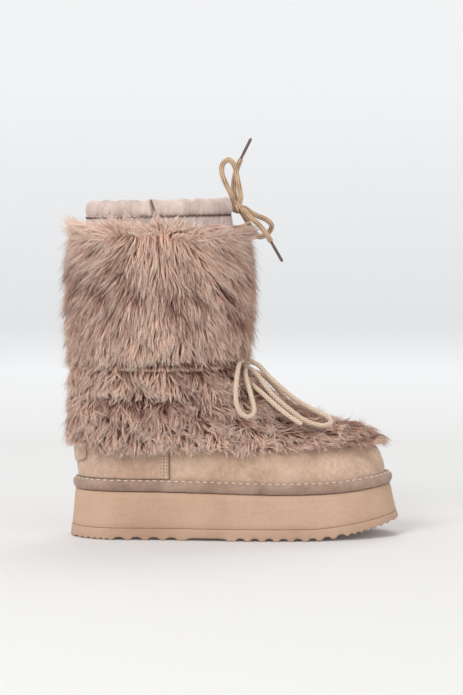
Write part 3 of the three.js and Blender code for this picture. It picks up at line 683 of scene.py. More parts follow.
tan_suede = suede_finish("tan suede", (206, 172, 147), (226, 193, 168), (238, 208, 185))
heel_suede = suede_finish("heel suede", (199, 164, 142), (218, 184, 161), (232, 201, 179))
painted_seam_shadow = suede_finish("painted seam shadow", (112, 84, 68), (136, 106, 88), (156, 126, 108), sheen=0.1)
welt_suede = suede_finish("taupe suede binding", (160, 133, 117), (182, 153, 135), (198, 170, 152))
foam = foam_finish("moulded foam", (186, 152, 127), (197, 163, 138), (205, 172, 148))
rubber = foam_finish("tread rubber", (176, 143, 120), (190, 157, 133), (200, 167, 144))
nylon = cloth_finish("soft nylon", (186, 165, 157), (206, 186, 177), (219, 200, 192), gloss=0.5)
casing_nylon = cloth_finish("casing nylon", (184, 162, 152), (207, 186, 176), (221, 201, 192), gloss=0.48)
fleece = pile_finish("fleece lining", (150, 128, 112), (206, 186, 168), (228, 211, 195))
lace_braid = cord_finish("lace braid", (192, 163, 137), (226, 199, 173), (243, 220, 198), 5, 330, 0.9)
drawcord_rib = cord_finish("ribbed drawcord", (148, 117, 88), (196, 162, 128), (222, 192, 160), 7, 30, 0.8)
cream_thread = thread_finish("cream thread", (214, 188, 162), (240, 220, 198))
# Brown thread, also used for the painted shadow along the casing's fold
brown_thread_and_fold_shadow = thread_finish("brown thread and fold shadow", (78, 56, 50), (112, 86, 78))
fur_hair = hair_finish("long fur")
undercoat_with_painted_shade = undercoat_finish("fur undercoat with painted shade")
aglet_film = tip_finish("brown lace tip")


# Cords: laces, their knots and tips. Routes in millimetres, as the model has them.


def through(points, spacing=1.2):
    """A smooth line through points, with its places close together."""
    p = [Vector(q) for q in points]
    p = [p[0] * 2 - p[1], *p, p[-1] * 2 - p[-2]]
    line = []
    for a, b, c, d in zip(p, p[1:], p[2:], p[3:]):
        ta = 0.0
        tb = ta + max((b - a).length ** 0.5, 1e-4)
        tc = tb + max((c - b).length ** 0.5, 1e-4)
        td = tc + max((d - c).length ** 0.5, 1e-4)
        count = max(2, round((c - b).length / spacing))
        for k in range(count):
            t = tb + (tc - tb) * k / count
            ab = a * ((tb - t) / (tb - ta)) + b * ((t - ta) / (tb - ta))
            bc = b * ((tc - t) / (tc - tb)) + c * ((t - tb) / (tc - tb))
            cd = c * ((td - t) / (td - tc)) + d * ((t - tc) / (td - tc))
            abc = ab * ((tc - t) / (tc - ta)) + bc * ((t - ta) / (tc - ta))
            bcd = bc * ((td - t) / (td - tb)) + cd * ((t - tb) / (td - tb))
            line.append(abc * ((tc - t) / (tc - tb)) + bcd * ((t - tb) / (tc - tb)))
    return line + [p[-2]]


def cord_tube(name, line, radius, sides=14, flat=1.0):
    """A round cord along a line, with rounded ends. Its UV is in turns round it and in metres along it."""
    line = [q * MM for q in line]
    ways = [(line[min(i + 1, len(line) - 1)] - line[max(i - 1, 0)]).normalized() for i in range(len(line))]
    start = Vector((0, 0, 1)) if abs(ways[0].z) < 0.9 else Vector((1, 0, 0))
    across = ways[0].cross(start).normalized()
    rings, lengths, run = [], [], 0.0
    turned = [(2 * math.pi * k) / sides for k in range(sides + 1)]
    for i, (at, way) in enumerate(zip(line, ways)):
        across = (across - way * across.dot(way)).normalized()
        up = way.cross(across)
        run += (at - line[i - 1]).length if i else 0
        sizes = [(0.0, 1.0)]
        if i == 0:
            sizes = [(-0.45, 0.0), (-0.36, 0.55), (-0.16, 0.88), (0.0, 1.0)]
        if i == len(line) - 1:
            sizes = [(0.0, 1.0), (0.16, 0.88), (0.36, 0.55), (0.45, 0.0)]
        for ahead, size in sizes:
            centre = at + way * ahead * radius
            reach = [across * math.cos(a) + up * (flat * math.sin(a)) for a in turned]
            rings.append([centre + one * radius * size for one in reach])
            lengths.append(run + ahead * radius)
    piece = sheet_of(name, np.array([[tuple(v) for v in ring] for ring in rings]))
    layer = piece.data.uv_layers.active
    layer.name = "UVMap"
    uv = np.empty(len(layer.data) * 2)
    layer.data.foreach_get("uv", uv)
    uv[1::2] = np.interp(uv[1::2], np.linspace(0, 1, len(lengths)), lengths)
    layer.data.foreach_set("uv", uv)
    return piece, [tuple(q) for q in line], run


def knot_piece(name, at, direction, cord_radius, routes, finish, slot, node):
    """A knot as wound turns of its cord round a core, lying where the knot's solid lies."""
    axis = Vector(direction).normalized()
    side = axis.cross(Vector((0, 0, 1))).normalized()
    up = side.cross(axis)
    middle = Vector(at)
    radius = (KNOT_RADIUS - cord_radius) / MM + 0.1
    points = [middle - axis * 1.5 + side * 0.6]
    for k in range(29):
        turn = 2 * math.pi * (k / 12 + 0.12)
        along = (k / 28 - 0.5) * 5.4
        bulge = radius * (1 + 0.1 * math.sin(turn * 0.5 + 0.8))
        points.append(middle + axis * along + side * (bulge * math.cos(turn)) + up * (bulge * math.sin(turn)))
    points.append(middle + axis * 1.5 - up * 0.8)
    wound = cord_tube(name, through(points, 1.0), cord_radius, flat=0.9)[0]
    core_line = through([middle + axis * along for along in (-4.0, 0.0, 4.0)], 1.0)
    parts = [cord_tube(name + "_core", core_line, cord_radius * 1.25)[0]]
    starts = [(r[0], r[1]) for r in routes.values()]
    starts += [(r[-1], r[-2]) for n, r in routes.items() if n not in AGLETS]
    for k, (first, second) in enumerate(starts):
        first, second = Vector(first), Vector(second)
        ahead = (second - first).normalized()
        reach = first - middle
        line = [middle + reach * 0.25, middle + reach * 0.62 - ahead * 0.6, first, first + ahead * 1.2]
        parts.append(cord_tube(f"{name}_leg_{k}", through(line, 1.0), cord_radius * 0.98)[0])
    only(wound)
    for part in parts:
        part.select_set(True)
    bpy.ops.object.join()
    return dress(wound, finish, slot, node)


CRIMP_AT = 0.0030  # from the tip's neck


def aglet_piece(name, end, direction, cord_radius, node):
    """The stiff tip of a cord: a pin with a crimped neck and a rounded end."""
    axis = Vector(direction).normalized()
    base = Vector(end) + axis * (0.3 + 0.1 * cord_radius / MM)
    turn = Vector((0, 0, 1)).rotation_difference(axis)
    let_go()
    bpy.ops.mesh.primitive_cylinder_add(
        vertices=20, radius=AGLET_RADIUS, depth=AGLET_LENGTH, location=(0, 0, AGLET_LENGTH / 2)
    )
    piece = bpy.context.object
    piece.name = name
    bpy.ops.object.transform_apply(location=True, rotation=False, scale=False)

    def cut_rings():
        for height in (0.0015, CRIMP_AT, 0.0042, 0.0150, 0.0185):
            bpy.ops.mesh.select_all(action="SELECT")
            bpy.ops.mesh.bisect(plane_co=(0, 0, height), plane_no=(0, 0, 1))

    edit_all(cut_rings)
    for v in piece.data.vertices:
        narrow = 1.0
        if abs(v.co.z - CRIMP_AT) < 1e-5:
            narrow = 0.86
        elif v.co.z > AGLET_LENGTH - 0.0005:
            narrow = 0.72
        v.co.x *= narrow
        v.co.y *= narrow
    finish_with(piece, "BEVEL", width=0.0003, segments=2, limit_method="ANGLE")
    piece.matrix_world = Matrix.Translation(base * MM) @ turn.to_matrix().to_4x4()
    only(piece)
    bpy.ops.object.transform_apply(location=True, rotation=True, scale=True)
    bpy.ops.object.shade_smooth_by_angle(angle=math.radians(40))
    return dress(piece, aglet_film, "aglet", node)


ANKLE_KNOT = (10, -5, 145.5)
COLLAR_KNOT = (4.5, -0.5, 284)
LACE_ROUTES = {
    "lace_loop_near": [
        (11.3, -13.3, 144.6), (11.5, -22, 140.5), (15, -34, 128), (18, -43, 117), (18.5, -49, 110.5), (14, -52, 107),
        (8, -52.5, 109.5), (4, -52, 117), (3, -49.5, 127), (4, -38, 140), (6.5, -21, 151), (9.6, -9.7, 152.5),
    ],
    "lace_loop_front": [
        (16.4, -4.2, 151), (23, -4.5, 147.5), (32, -8, 138), (42, -11, 129), (53, -13, 120), (64, -15, 113),
        (75, -19, 107.5), (82.5, -24, 104), (85, -29, 100.5), (80, -34, 98), (71, -35, 99), (61, -34, 103),
        (51, -31, 110), (42, -28, 117), (34, -24, 124.5), (27.5, -19, 132), (22.5, -14, 139), (17.2, -9.3, 144.2),
    ],
    "lace_end_near": [
        (12.1, -8.8, 138.2), (17, -18, 132), (26, -29, 125), (36, -37, 116.5), (48, -42, 107), (59, -44, 100),
    ],
    "lace_end_far": [(15.1, 1.4, 143), (20, 7, 141.5), (28, 15, 137), (37, 23, 128), (46, 31, 117), (55, 37, 107)],
}
DRAWCORD_ROUTES = {
    "drawcord_loop_up": [
        (1, -3.5, 291), (-1.5, -6, 297), (-6, -6.5, 306), (-9, -5, 315), (-8, -3.5, 322), (-3, -2, 325.5),
        (1.5, -1.5, 321.5), (4, -1.5, 312), (6, -2.5, 302), (7.5, -3, 293),
    ],
    "drawcord_loop_side": [
        (11.5, 3.5, 283.5), (17, 6, 279.5), (23, 9, 276.5), (30, 13, 273.5), (34.5, 17, 268.5), (31.5, 21, 262),
        (24, 21.5, 258.5), (18, 18, 264.5), (13, 12.5, 272.5), (9.5, 7, 278.5),
    ],
    "drawcord_end_up": [(3.5, 4.5, 290), (1.5, 5, 299), (1.8, 4.5, 309), (4.5, 4, 318.5), (7.2, 3, 325.7)],
    "drawcord_end_side": [(11, -5, 281), (15.5, -6, 276), (22.4, -6.5, 270), (28.5, -6, 263), (33.3, -5.5, 255.3)],
}
AGLETS = {
    "lace_end_near": ("lace_aglet_near", (12, -1, -4)),
    "lace_end_far": ("lace_aglet_far", (9, 5, -9)),
    "drawcord_end_up": ("drawcord_aglet_up", (9, 0, 18)),
    "drawcord_end_side": ("drawcord_aglet_side", (8, 0, -14)),
}


def free_cords(routes, radius, finish, slot):
    """The loops and ends of a bow. A loop runs back into the knot, and an end has a tip."""
    for name, route in routes.items():
        piece, path, length = cord_tube("tied_" + name, through(route), radius)
        dress(piece, finish, slot, name)
        if name in AGLETS:
            node, direction = AGLETS[name]
            tip = aglet_piece("tip_of_" + name, route[-1], direction, radius, node)
            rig.cord(piece, exit=path[0], length=length, diameter=2 * radius, far_end="fitting", stiffness="limp",
                    lay="hanging", path=path, with_pieces=[tip])
        else:
            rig.cord(piece, exit=path[0], length=length, diameter=2 * radius, far_end="object", stiffness="limp",
                    lay="hanging", path=path)


knot_piece("wound_lace_knot", ANKLE_KNOT, (0.35, 1, 0.1), LACE_RADIUS, LACE_ROUTES, lace_braid, "lace", "lace_knot")
knot_piece(
    "wound_drawcord_knot", COLLAR_KNOT, (0.9, 0, 0.45), DRAWCORD_RADIUS, DRAWCORD_ROUTES, drawcord_rib, "drawcord",
    "drawcord_knot",
)
free_cords(LACE_ROUTES, LACE_RADIUS, lace_braid, "lace")
free_cords(DRAWCORD_ROUTES, DRAWCORD_RADIUS, drawcord_rib, "drawcord")

around_ankle = np.linspace(math.pi + 0.34, 3 * math.pi - 0.34, 60)
tie_ring = off_last(around_ankle, level_of(TIE), LACE_RADIUS + 2.5 * GAP) / MM
tie_line = through([ANKLE_KNOT, *tie_ring, ANKLE_KNOT], 2.0)
dress(cord_tube("lace_round_ankle", tie_line, LACE_RADIUS)[0], lace_braid, "lace", "ankle_tie")


# Sole


def sole_margin(x, z, grow):
    """How far the sole's side wall stands outside the upper's outline at a height."""
    flare = HEEL_FLARE + (TOE_FLARE - HEEL_FLARE) * smooth((x - HEEL_X) / SOLE_LENGTH, 0.5, 1)
    down = (platform_top(x) - z) / (platform_top(x) - spring_at(x))
    return SOLE_MARGIN + grow + flare * np.clip(down, -0.2, 1.05)


def tread_height(x):
    """The tread's line: arched valleys between flat crests that lie on the floor, or on the toe spring's curve."""
    height = spring_at(x)
    for start, end, valleys, depth in TREAD:
        pitch = (end - start) * SOLE_LENGTH / valleys
        crest = min(LUG_CREST, pitch * 0.28)
        for k in range(valleys):
            left = HEEL_X + start * SOLE_LENGTH + k * pitch + crest / 2
            share = (x - left) / (pitch - crest)
            inside = (share > 0) & (share < 1)
            power = 2.6 if pitch < 0.03 else 8
            height = height + np.where(inside, depth * (1 - np.abs(2 * share - 1) ** power), 0)
    return height


def sole_stations(count, margin):
    """Angles from the heel to the toe that are evenly spaced along the sole, and closer at its two round ends."""
    fine = np.linspace(0, math.pi, 2001)
    x = outline(fine, margin)[:, 0]
    even = np.interp(np.linspace(x[0], x[-1], count), x, fine)
    ends = np.array([0.015, 0.03, 0.05, 0.075])
    return np.unique(np.concatenate([even, ends, math.pi - ends]))


ACROSS = (0.06, 0.2, 0.4, 0.6, 0.8, 0.94)  # shares of the sole's width where its faces have an edge


def sole_body(name, count, side_wall, grow):
    """A slice of the sole: the same section at each station from heel to toe, from one side wall to the other."""
    stations = sole_stations(count, SOLE_MARGIN + HEEL_FLARE)
    middle = on_last(stations, 0)[:, 0]
    walls = []
    for side in (1, -1):
        wall = []
        for height, inset in side_wall:
            x = middle
            for _ in range(3):
                z = height(x)
                edge = outline(side * stations, sole_margin(x, z, grow) - inset)
                x = edge[:, 0]
            wall.append(np.column_stack([edge, height(x)]))
        walls.append(wall)
    outer, inner = walls
    top = [outer[0] + (inner[0] - outer[0]) * share for share in ACROSS]
    bottom = [inner[-1] + (outer[-1] - inner[-1]) * share for share in ACROSS]
    for points in bottom:
        points[:, 2] = side_wall[-1][0](points[:, 0])
    loop = [*outer[::-1], *top, *inner, *bottom, outer[-1]]
    return sheet_of(name, np.stack(loop, 1))


def between(top, foot, share, rise=0.0):
    """A height line of the side wall: a share of the way from its top to its foot, and a little more."""
    return lambda x: top(x) * (1 - share) + foot(x) * share + rise


# Each row of a side wall is a height line and how far it lies inside the wall's flare
outsole_wall = [
    (between(outsole_top, tread_height, 0), 0.0004),
    (between(outsole_top, tread_height, 0, -0.0003), 0.0001),
    (between(outsole_top, tread_height, 0.25), 0.0),
    (between(outsole_top, tread_height, 0.55), 0.0),
    (between(outsole_top, tread_height, 1, 0.0012), 0.0),
    (between(outsole_top, tread_height, 1, 0.0004), 0.0003),
    (between(outsole_top, tread_height, 1), 0.0011),
]
outsole = sole_body("ribbed_outsole", 380, outsole_wall, OUTSOLE_STEP)
dress(outsole, rubber, "rubber", "outsole")

midsole_wall = [
    (between(platform_top, outsole_top, 0), 0.0022),
    (between(platform_top, outsole_top, 0, -0.0003), 0.0010),
    (between(platform_top, outsole_top, 0, -0.0012), 0.0002),
    (between(platform_top, outsole_top, 0.2), -0.0001),
    (between(platform_top, outsole_top, 0.4), 0.0),
    (between(platform_top, outsole_top, 0.6), 0.0001),
    (between(platform_top, outsole_top, 0.8), 0.0),
    (between(platform_top, outsole_top, 1, GAP + 0.0003), 0.0),
    (between(platform_top, outsole_top, 1, GAP), 0.0002),
]
midsole = sole_body("foam_midsole", 170, midsole_wall, 0)
dress(midsole, foam, "foam", "midsole")


def round_angles(columns):
    return np.linspace(0, 2 * math.pi, columns + 1)


def closed_ring(name, rows, columns=160):
    """A ring round the boot: each row is a function of the angle, and the last row joins the first."""
    angle = round_angles(columns)
    lines = [row(angle) for row in rows]
    return sheet_of(name, np.stack([*lines, lines[0]], 0))


def welt_row(margin, height):
    def row(angle):
        foot = outline(angle, margin)
        level = level_of(height / UPPER_HEIGHT)
        side = off_last(angle, level + 1e-6, margin)
        ripple = 0.00012 * np.sin(37 * angle) + 0.0001 * np.sin(61 * angle + 1.3)
        z = platform_top(foot[:, 0]) + height + ripple
        return np.column_stack([side[:, 0], side[:, 1], z])

    return row


bulge = SOLE_MARGIN + WELT_BULGE
welt_profile = [
    (1.5 * GAP, GAP), (SOLE_MARGIN * 0.6, GAP), (SOLE_MARGIN + 0.0006, 0.0004), (bulge - 0.0008, 0.0012),
    (bulge - 0.0002, 0.0026), (bulge, 0.0044), (bulge - 0.0002, 0.0060), (bulge - 0.0008, 0.0074),
    (bulge - 0.0018, 0.0085), (bulge - 0.0031, 0.0093), (bulge - 0.0041, 0.0093), (bulge - 0.0050, 0.0098),
    (0.0012, 0.0100), (0.0006, 0.0095), (1.5 * GAP, 0.0060),
]
welt = closed_ring("suede_welt", [welt_row(m, h) for m, h in welt_profile], 200)
dress(welt, welt_suede, "binding", "welt")


# Upper

# Soft creases of the suede foot: angle, rise, half length round, half height, depth, tilt
CREASES = [
    (2.02, 0.105, 0.05, 0.05, 0.0007, 0.5), (2.22, 0.115, 0.06, 0.045, 0.0006, -0.3),
    (1.72, 0.12, 0.045, 0.04, 0.0005, 0.7), (2.48, 0.10, 0.05, 0.045, 0.0006, -0.6),
    (1.2, 0.11, 0.05, 0.045, 0.0004, 0.2), (-2.05, 0.105, 0.05, 0.05, 0.0007, 0.4),
    (-2.3, 0.115, 0.06, 0.045, 0.0006, -0.4), (-1.6, 0.11, 0.05, 0.045, 0.0005, 0.5),
]


def suede_rise(angle, level):
    """How far the suede swells or creases away from its plain shape."""
    rise = np.interp(level, LEVELS, RISES)
    turn = (angle + math.pi) % (2 * math.pi) - math.pi
    swell = 0.0004 * np.sin(5 * turn + 3 * rise * 20) * np.sin(rise * 60 + turn)
    for at, high, reach, tall, depth, tilt in CREASES:
        u = (turn - at - tilt * (rise - high)) / reach
        v = (rise - high) / tall
        swell = swell - depth * np.exp(-(u * u) * 2.2 - v * v) + 0.5 * depth * np.exp(-((u - 1.3) ** 2) * 2 - v * v)
    return swell * smooth(rise, 0.02, 0.06)


def shell_rows(low, high, count, distance):
    rows = []
    for level in np.linspace(low, high, count):
        rows.append(lambda angle, level=level: off_last(angle, level, distance(angle, level)))
    return rows


sleeve_level = float(level_of(SLEEVE_FOOT))
upper = closed_ring(
    "suede_upper",
    [
        *shell_rows(0, sleeve_level, 48, lambda a, v: np.minimum(suede_rise(a, v), 0.0002)),
        *shell_rows(0, sleeve_level, 24, lambda a, v: -WALL)[::-1],
    ],
    168,
)
dress(upper, [tan_suede, fleece], "suede", "upper")
centres = np.empty(len(upper.data.polygons) * 3)
upper.data.polygons.foreach_get("center", centres)
normals = np.empty(len(upper.data.polygons) * 3)
upper.data.polygons.foreach_get("normal", normals)
centres, normals = centres.reshape(-1, 3), normals.reshape(-1, 3)
# The middle of the boot at each height, to tell the lining from the outside
heart_x = np.interp(centres[:, 2], [0.04, 0.08, 0.13, 0.15, 0.3], [0.0, -0.02, -0.055, -0.065, -0.063])
heart = np.column_stack([heart_x, np.zeros(len(centres))])
inward = ((centres[:, :2] - heart) * normals[:, :2]).sum(1) + 0.02 * normals[:, 2] < 0
upper.data.polygons.foreach_set("material_index", inward.astype(np.int32))


def insole_rows():
    """The footbed's rows, from the middle of its underside round its edge to the middle of its top."""
    def edge(height, inset):
        def row(angle):
            at = off_last(angle, level_of(height / UPPER_HEIGHT) + 1e-6, -WALL - GAP - inset)
            foot = outline(angle, -WALL)
            return np.column_stack([at[:, :2], platform_top(foot[:, 0]) + GAP + height])

        return row

    def spine(height, share):
        rim = edge(height, 0.001)

        def row(angle):
            at = rim(angle)
            middle = np.column_stack([at[:, 0], TOE_INWARD / 2 * smooth(at[:, 0], 0, 0.1)])
            plan = at[:, :2] + (middle - at[:, :2]) * share
            return np.column_stack([plan, platform_top(plan[:, 0]) + GAP + height])

        return row

    underside = [spine(0.0, 1.0), spine(0.0, 0.5), edge(0.0, 0.0006)]
    rim = [edge(0.0015, 0.0), edge(0.0045, 0.0), edge(0.0058, 0.0008)]
    return [*underside, *rim, spine(0.0062, 0.3), spine(0.0060, 0.6), spine(0.0058, 1.0)]


insole_lines = [row(round_angles(96)) for row in insole_rows()]
insole = sheet_of("fleece_insole", np.stack(insole_lines, 0))
dress(insole, fleece, "lining", "insole")


def angle_at_x(x, level):
    fine = np.linspace(0, math.pi, 1501)
    return float(np.interp(x, on_last(fine, np.full_like(fine, level))[:, 0], fine))


counter_foot = float(level_of((WELT_HEIGHT + 2 * GAP) / UPPER_HEIGHT))
counter_top = float(level_of(COUNTER_HEIGHT))
counter_edge = LAST_MIDDLE + COUNTER_EDGE * FOOT_LENGTH


def overlay(name, rows, columns, reach, low, high, gap, thickness):
    lines = []
    for v in np.linspace(0, 1, rows):
        end = reach(v)
        share = np.linspace(-1, 1, columns)
        foot = low(share)
        level = foot + (high - foot) * v
        lines.append(off_last(end * share, level, np.full(columns, gap) + 0.0001 * np.sin(9 * share + 4 * v)))
    piece = sheet_of(name, np.stack(lines, 0), weld=False)
    edit_all(face_outwards)
    middle = piece.data.polygons[(rows // 2 - 1) * (columns - 1) + columns // 2]
    if middle.normal.x > 0:
        piece.data.flip_normals()
    finish_with(piece, "SOLIDIFY", thickness=thickness, offset=1)
    finish_with(piece, "BEVEL", width=0.0004, segments=2, limit_method="ANGLE", angle_limit=math.radians(50))
    only(piece)
    bpy.ops.object.shade_smooth()
    return piece


counter = overlay(
    "heel_counter_suede", 16, 90, lambda v: angle_at_x(counter_edge, counter_foot + (counter_top - counter_foot) * v),
    lambda u: np.full_like(u, counter_foot), counter_top, GAP, SUEDE,
)
dress(counter, heel_suede, "suede", "heel_counter")
TAB_ROUND = 0.005  # how far the tab's lower corners are rounded off
tab_reach = TAB_WIDTH / (1.32 * BALL_WIDTH)
tab_top = VAMP_FOOT + 0.02


def tab_foot(share, inset=0.0):
    """The level of the tab's lower edge across it, or of a line inside it."""
    return level_of(tab_top - (TAB_HEIGHT - TAB_ROUND * np.abs(share) ** 4 - inset) / UPPER_HEIGHT)


tab = overlay(
    "heel_tab_suede", 12, 40, lambda v: tab_reach, tab_foot, float(level_of(tab_top)), 2 * GAP + SUEDE, SUEDE
)
dress(tab, heel_suede, "suede", "heel_tab")


# Stitches


def one_stitch(length, radius):
    let_go()
    bpy.ops.mesh.primitive_uv_sphere_add(segments=8, ring_count=6, radius=1)
    stitch = bpy.context.object
    stitch.name = "stitch_pattern"
    for v in stitch.data.vertices:
        ends = 1 - 0.35 * abs(v.co.z) ** 4
        v.co = Vector((v.co.x * radius * ends, v.co.y * radius * ends, v.co.z * length / 2))
    bpy.ops.object.shade_smooth()
    return stitch


def stitch_row(name, places, length, radius, finish, slot):
    """A row of stitches: one is modelled and copied to each place, along a direction."""
    pattern = one_stitch(length, radius)
    copies = []
    for middle, way in places:
        copy = pattern.copy()
        copy.data = pattern.data.copy()
        bpy.context.scene.collection.objects.link(copy)
        turn = Vector((0, 0, 1)).rotation_difference(Vector(way).normalized())
        copy.matrix_world = Matrix.Translation(Vector(middle)) @ turn.to_matrix().to_4x4()
        copies.append(copy)
    bpy.data.objects.remove(pattern)
    let_go()
    for copy in copies:
        copy.select_set(True)
    bpy.context.view_layer.objects.active = copies[0]
    bpy.ops.object.transform_apply(location=True, rotation=True, scale=True)
    bpy.ops.object.join()
    row = bpy.context.object
    row.name = name
    row.data.name = name
    return dress(row, finish, slot)


def along_line(points, pitch, start=0.0):
    """Evenly spaced places on a line of points, each with the line's direction."""
    points = np.asarray(points)
    steps = np.linalg.norm(np.diff(points, axis=0), axis=1)
    run = np.concatenate([[0], np.cumsum(steps)])
    at = np.arange(start + pitch / 2, run[-1], pitch)
    line = np.column_stack([np.interp(at, run, points[:, k]) for k in range(3)])
    ahead = np.column_stack([np.interp(at + 0.0006, run, points[:, k]) for k in range(3)])
    back = np.column_stack([np.interp(at - 0.0006, run, points[:, k]) for k in range(3)])
    return [(a, b) for a, b in zip(line, ahead - back)]


stitch_line = welt_row(bulge - 0.0028, 0.0094)(np.linspace(0, 2 * math.pi, 600))
stitch_row("welt_stitches", along_line(stitch_line, 0.0062), 0.0040, 0.00055, cream_thread, "lace")


def on_overlay(x_inset, low, high, gap, side):
    lines = []
    for v in np.linspace(low, high, 40):
        level = counter_foot + (counter_top - counter_foot) * v
        angle = side * angle_at_x(counter_edge - x_inset, level)
        lines.append(off_last(np.array([angle]), np.array([level]), np.array([gap]))[0])
    return lines


for side, word in ((1, "outer"), (-1, "inner")):
    places = []
    for inset in (0.0024, 0.0056):
        places += along_line(on_overlay(inset, 0.02, 0.97, GAP + SUEDE + 0.0004, side), 0.0028)
    stitch_row("side_seam_stitches_" + word, places, 0.0019, 0.00068, cream_thread, "lace")
    # A dark brown line along the counter's edge: painted shadow under the edge
    edge = [point / MM for point in on_overlay(-0.0002, 0.0, 1.0, GAP + 0.45 * SUEDE, side)]
    dress(cord_tube("side_seam_shadow_" + word, through(edge, 1.5), 0.00045, 8)[0], painted_seam_shadow, "suede")

TAB_INSET = 0.0022  # of the tab's stitches from its edge
tab_shares = np.concatenate([np.full(20, -1.0), np.linspace(-1, 1, 80), np.full(20, 1.0)])
tab_climb = np.concatenate([np.linspace(1, 0, 20), np.zeros(80), np.linspace(0, 1, 20)])
tab_low = tab_foot(tab_shares, TAB_INSET)
tab_levels = tab_low + (float(level_of(tab_top)) - tab_low) * tab_climb
tab_angles = tab_reach * (1 - 2 * TAB_INSET / 0.044) * tab_shares
tab_line = off_last(tab_angles, tab_levels, 2 * (GAP + SUEDE) + 0.0001)
stitch_row("heel_tab_stitches", along_line(tab_line, 0.0026), 0.0018, 0.0004, cream_thread, "lace")


# Collar


def gathers(angle, seed, waves):
    """Small uneven pleats round the collar."""
    rng = np.random.default_rng(seed)
    total = np.zeros_like(angle)
    for count in waves:
        total += np.sin(count * angle + rng.uniform(0, 6.28) + 0.8 * np.sin(3 * angle + rng.uniform(0, 6.28)))
    return total / len(waves)


sleeve_low = float(level_of(SLEEVE_FOOT + GAP / UPPER_HEIGHT))


def pleat(angle, level):
    return 0.0008 * gathers(angle, 3, (34, 47, 61)) * smooth(level, sleeve_low, TOP) - 0.0002


def sleeve_row(level, inner):
    def row(angle):
        return off_last(angle, level, pleat(angle, level) - (SLEEVE_WALL if inner else 0))

    return row


sleeve_levels = np.linspace(sleeve_low, TOP - 1e-4, 12)
sleeve = closed_ring(
    "collar_sleeve",
    [*[sleeve_row(v, False) for v in sleeve_levels], *[sleeve_row(v, True) for v in sleeve_levels[::-1]]],
    320,
)
dress(sleeve, nylon, "nylon", "collar")

collar_z = float(on_last(0.0, TOP)[2]) + CASING_HEIGHT / 2 - 0.0015
mouth = CASING_MOUTH / (float(on_last(math.pi / 2, TOP)[1]) * -2)


def casing_centre(angle, inset=0.0):
    """The casing's middle line round the collar, or a line inside it. It stands a little higher in front."""
    point = off_last(angle, TOP, 0.0005 - CASING_THICKNESS / 2 - inset)
    point[:, 2] = collar_z + 0.003 * ((1 - np.cos(angle)) / 2 - 0.5)
    return point


FOLD_AT = 1.505  # angle past the heel where the casing's cloth is folded over itself
FOLD_SLANT = 0.045


def casing_tube():
    """The casing as a bent tube with a wall: outside from one end to the other, and back along the inside."""
    angle = np.linspace(math.pi + mouth, 3 * math.pi - mouth, 560)
    centre = casing_centre(angle)
    ahead = np.gradient(centre, axis=0)
    ahead[:, 2] = 0
    ahead = unit(ahead)
    out = np.column_stack([ahead[:, 1], -ahead[:, 0], np.zeros(len(angle))])
    turns = np.linspace(0, 2 * math.pi, 19)
    sharp = gathers(angle, 11, (41, 59, 83))
    broad = gathers(angle, 12, (17, 26))
    turned = np.array(turns)[None, :]
    c, s = np.cos(turned), np.sin(turned)
    c = np.sign(c) * np.abs(c) ** 0.8
    low = np.maximum(0, -s)
    behind = angle[:, None] - (2 * math.pi + FOLD_AT - FOLD_SLANT * s)
    step = 0.0007 * smooth(behind, -0.01, 0.03) - 0.0040 * np.exp(-((behind / 0.020) ** 2))
    puckered = 1 + 0.7 * (1 - smooth(behind, -0.1, 0.1)) * smooth(angle[:, None], 2 * math.pi, 2 * math.pi + 0.3)

    def skin(thick, high, amount):
        shape = (0.9 * sharp[:, None] * (0.3 + 0.9 * low) + 0.6 * broad[:, None]) * 0.0009 * amount * puckered
        wide = thick + shape + step * amount - 0.0009 * smooth(low, 0.6, 1.0)
        point = centre[:, None, :] + out[:, None, :] * (wide * c)[..., None]
        point[..., 2] += (high + 0.0008 * broad[:, None] * amount * puckered) * s
        return point

    outside = skin(CASING_THICKNESS / 2, CASING_HEIGHT / 2, 1.0)
    inside = skin(CASING_THICKNESS / 2 - CASING_WALL, CASING_HEIGHT / 2 - CASING_WALL, 0.6)
    rows = np.concatenate([outside, inside[::-1], outside[:1]], 0)
    return sheet_of("drawstring_casing", rows)


casing_piece = casing_tube()
dress(casing_piece, casing_nylon, "nylon", "collar")

# A dark brown line down the casing's fold: painted shadow between the cloth's two layers
fold_line = []
for turn in np.radians(np.linspace(80, -76, 14)):
    lie = math.sin(turn)
    at = np.array([2 * math.pi + FOLD_AT + 0.01 - FOLD_SLANT * lie])
    spot = casing_centre(at, -(CASING_THICKNESS / 2 + 0.0003) * math.cos(turn) ** 0.8)[0]
    fold_line.append((spot + np.array([0, 0, lie * CASING_HEIGHT / 2])) / MM)
dress(cord_tube("casing_fold_shadow", through(fold_line, 1.0), 0.00055, 8)[0], brown_thread_and_fold_shadow, "drawcord")

seam_angles = np.linspace(math.pi + mouth + 0.05, 3 * math.pi - mouth - 0.05, 900)
seam_line = casing_centre(seam_angles, -CASING_THICKNESS / 2 - 0.0001)
seam_line[:, 2] -= CASING_HEIGHT / 2 - CASING_WALL
seam_places = []
for k, (middle, way) in enumerate(along_line(seam_line, 0.0021)):
    seam_places.append((middle + np.array([0, 0, 0.0003 * (-1) ** k]), way + np.array([0, 0, 0.0009 * (-1) ** k])))
stitch_row("casing_zigzag", seam_places, 0.0025, 0.0006, brown_thread_and_fold_shadow, "drawcord")

run_angles = np.linspace(math.pi + mouth, 3 * math.pi - mouth, 50)
run_line = through(casing_centre(run_angles) / MM, 2.0)
dress(cord_tube("drawcord_in_casing", run_line, DRAWCORD_RADIUS)[0], drawcord_rib, "drawcord", "drawcord_run")


# Fur

RINGS = 4  # places along a lock
SHAFT_MIDDLE = -0.063
SHAFT_HALF = 0.078


def fan(across, degrees):
    """Directions in the boot's side view: 0 is straight down and 90 is towards the toe."""
    spread = np.radians(degrees)
    return np.column_stack([np.sin(spread), np.zeros(len(across)), -np.cos(spread)])


